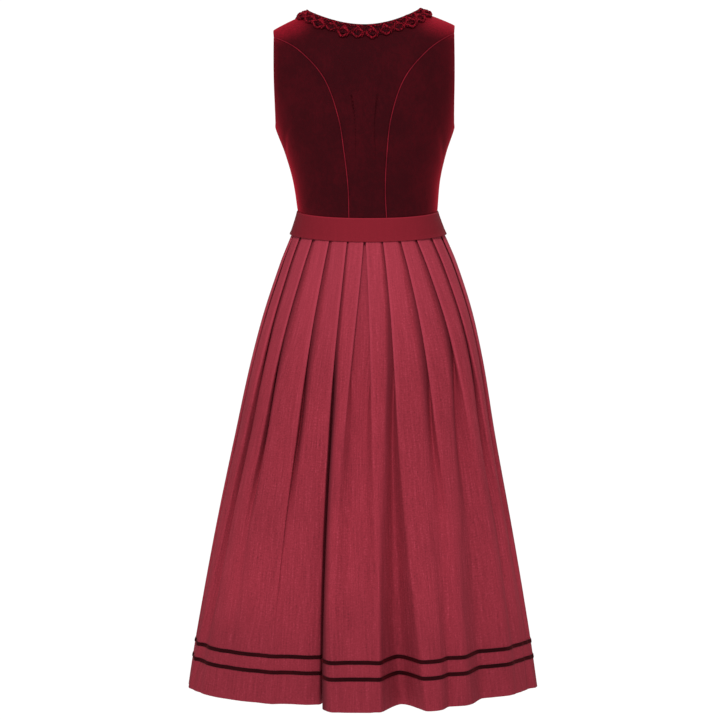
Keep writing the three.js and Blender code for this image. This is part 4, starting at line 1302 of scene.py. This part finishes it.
# all painted light and shade of the skirt: lighter fold edges and top, darker tucks, deep fold and hem
painted_skirt_lighting = 0.3 * painted_crest_highlight - 0.9 * painted_tuck_shade - 0.8 * painted_deep_fold_shade + painted_height_lighting
skirt_pieces = {}
turned_up = smooth((HEM_HEIGHT + HEM_TURN - SKIRT_ROWS) / 3)[:, None] * HEM_LAYER
for name in PANELS:
    rows = panel_slice(section_rows, name)
    outer = offset_section(rows, SKIRT_WALL / 2)
    inner = offset_section(rows, -SKIRT_WALL / 2 - turned_up)
    skirt_pieces[name] = cloth_piece(f"pleated_{name}", outer, inner, skirt_cloth,
                                     painted_skirt_lighting[:, panel_columns[name]], straight_threads=True)

# %% [markdown]
# ## Two ribbons above the hem
#
# Narrow velvet ribbons are sewn flat on the skirt and follow every fold. A Shrinkwrap modifier
# would lose its way in the deep folds. They are made from the skirt's own points, moved out, so
# they can't sink into the cloth or float off it.

# %% Ribbons
RIBBON_CLEAR = 0.12             # between the ribbon's wrong side and the skirt
RIBBON_CENTRES = {"upper": HEM_HEIGHT + 88, "lower": HEM_HEIGHT + 58.5}
# across the ribbon: distance from its middle, and how high its pile stands there
RIBBON_PROFILE = [(-3.5, 0.55), (-3.3, 0.8), (-2.6, 1.05), (-1.3, 1.3), (0, 1.35), (1.3, 1.3), (2.6, 1.05),
                  (3.3, 0.8), (3.5, 0.55)]
ribbon_lines = {}
on_skirt = {name: [] for name in PANELS}
for level, centre in RIBBON_CENTRES.items():
    heights = np.array([centre - across for across, _ in RIBBON_PROFILE])
    rises = np.array([rise for _, rise in RIBBON_PROFILE])[:, None]
    ribbon_rows, _ = skirt_section(heights)
    for name in PANELS:
        rows = panel_slice(ribbon_rows, name)
        outer = offset_section(rows, SKIRT_WALL / 2 + rises)
        inner = offset_section(rows, SKIRT_WALL / 2 + RIBBON_CLEAR)
        # painted highlight along the top of the ribbon
        painted_lighting = 0.3 * np.exp(-((rises - rises.max()) / 0.25) ** 2)
        piece = cloth_piece(f"ribbon_{level}_{name}", outer, inner, ribbon_velvet, painted_lighting)
        sew_in(piece, [f"hem_ribbon_{level}_{name}"])
        on_skirt[name].append(piece)
        for row in (1, -2):
            ribbon_lines.setdefault(name, []).append(outer[row])

# %% [markdown]
# ## The waistband
#
# The band covers the tops of the pleats. It is several layers thick, so its edges are round
# and it stays smooth, with only a few slight pulls. A plain tube with a Bevel modifier would be
# too even for sewn cloth, so its rows crowd at the edges and its thickness varies.

# %% Waistband
BAND_WALL = 2.4
BAND_LIP = 0.4
BAND_CLEAR = 0.5
SOLID_SKIRT_WALL = 1.2          # the skirt's wall in the frame, thicker than its cloth here
BAND_PULLS = table(("angle", "z", "width", "height", "depth"),
    (18, -366, 9, 9, 0.35), (-22, -372, 11, 8, 0.4), (52, -376, 10, 8, 0.45), (-58, -362, 12, 9, 0.4),
    (96, -370, 8, 12, 0.5), (-98, -368, 9, 12, 0.45), (140, -372, 12, 8, 0.4),
    (-150, -364, 11, 9, 0.35))


def band_surfaces(angles, heights):
    angle, z = np.meshgrid(angles, heights)
    outside = -(SOLID_SKIRT_WALL / 2 + BAND_CLEAR)
    upper = lifted(angle, np.full_like(angle, WAIST_DROP), np.full_like(angle, -VELVET_WALL))
    lower = skirt_point(angle, SKIRT_TOP, outside)
    share = (-WAIST_DROP - z) / (-WAIST_DROP - SKIRT_TOP)
    inner = np.where((z > SKIRT_TOP)[..., None], mix(upper, lower, share[..., None]),
                     skirt_point(angle, z, outside))
    inner[..., 2] = z + waist_climb(angle)
    out = unit(np.stack([inner[..., 0] - sway_at(z), inner[..., 1], 0 * z], -1))
    from_edge = np.minimum(-WAIST_DROP - SEAM_GAP - z, z - BAND_BOTTOM)
    thickness = BAND_WALL + BAND_LIP * smooth((z + WAIST_DROP + 10) / 10)
    thickness = thickness - 0.9 * (1 - np.sqrt(1 - (1 - np.clip(from_edge / 1.6, 0, 1)) ** 2))
    for pull in BAND_PULLS:
        thickness = thickness - pull["depth"] * np.exp(
            -((angle - pull["angle"]) / pull["width"]) ** 2 - ((z - pull["z"]) / pull["height"]) ** 2)
    return inner + out * thickness[..., None], inner


edge_rows = np.array([0, 0.25, 0.7, 1.3, 2.2, 4])
band_heights = np.concatenate([-WAIST_DROP - SEAM_GAP - edge_rows, np.linspace(-355, -383, 13),
                               BAND_BOTTOM + edge_rows[::-1]])
band_angles = np.linspace(-FRONT_EDGE, FRONT_EDGE, 361)
band_outer, band_inner = band_surfaces(band_angles, band_heights)
# painted highlight along the band's top edge, and painted light that is stronger where the band faces the
# back
rim_light = np.exp(-(((-WAIST_DROP - SEAM_GAP - 0.9 - band_heights) / 0.8) ** 2))
painted_light_facing_back = np.maximum(np.cos(np.radians(band_angles)), 0)
band_painted_light = 0.6 * rim_light[:, None] + 0.45 * painted_light_facing_back
waistband = cloth_piece("waistband_cloth", band_outer, band_inner, band_cloth, band_painted_light)
sew_in(waistband, ["waistband"], "stretched")

# %% [markdown]
# ## Stitches
#
# The ribbons are sewn down along both edges with a matching thread, about three stitches to
# the centimetre. A bump texture could hint at them, but real grains stay sharp up close. One
# stitch is a small rounded grain, set along each edge by the sewing tree.

# %% Stitches on the ribbons
STITCH_PITCH = 3.2


def stitch_unit():
    turn = np.linspace(0, np.pi, 5)
    line = np.stack([-1.1 * np.cos(turn), 0 * turn, 0.12 * np.sin(turn)], -1)
    points, quads, _ = lip(line, 0.24 * np.sin(turn) + 0.06, 0.2 * np.sin(turn) + 0.05, 0, 6)
    return mesh_object("stitch_unit", points, quads, ribbon_thread)


def along_line(line, pitch):
    """Evenly spaced points on a line, with its direction there."""
    lengths = lengths_along(line)
    at = np.arange(pitch / 2, lengths[-1], pitch)

    def moved(by):
        return np.stack([np.interp(at + by, lengths, line[:, k]) for k in range(3)], -1)
    return moved(0), unit(moved(0.3) - moved(-0.3) + 1e-9)


stitch = stitch_unit()
for seed, (name, lines) in enumerate(ribbon_lines.items()):
    found = [along_line(line, STITCH_PITCH) for line in lines]
    points = np.concatenate([p for p, _ in found])
    directions = np.concatenate([d for _, d in found])
    outward = unit(np.stack([-directions[:, 1], directions[:, 0], 0 * directions[:, 0]], -1))
    sewn = sew_along(f"ribbon_stitches_{name}", points, directions, outward, stitch, ribbon_thread,
                     (1, 1, 1), 0.12, seed)
    sew_in(sewn, [])
    on_skirt[name].append(sewn)
throw_away(stitch)

# %% Sew in the panels
for node, piece in velvet_pieces.items():
    caught = [p for p in pipings if node == p.name.replace("piping", "back_side")]
    sew_in(piece, [node], "hung")
for name, piece in skirt_pieces.items():
    sew_in(piece, [f"skirt_{name}"], "gathered")
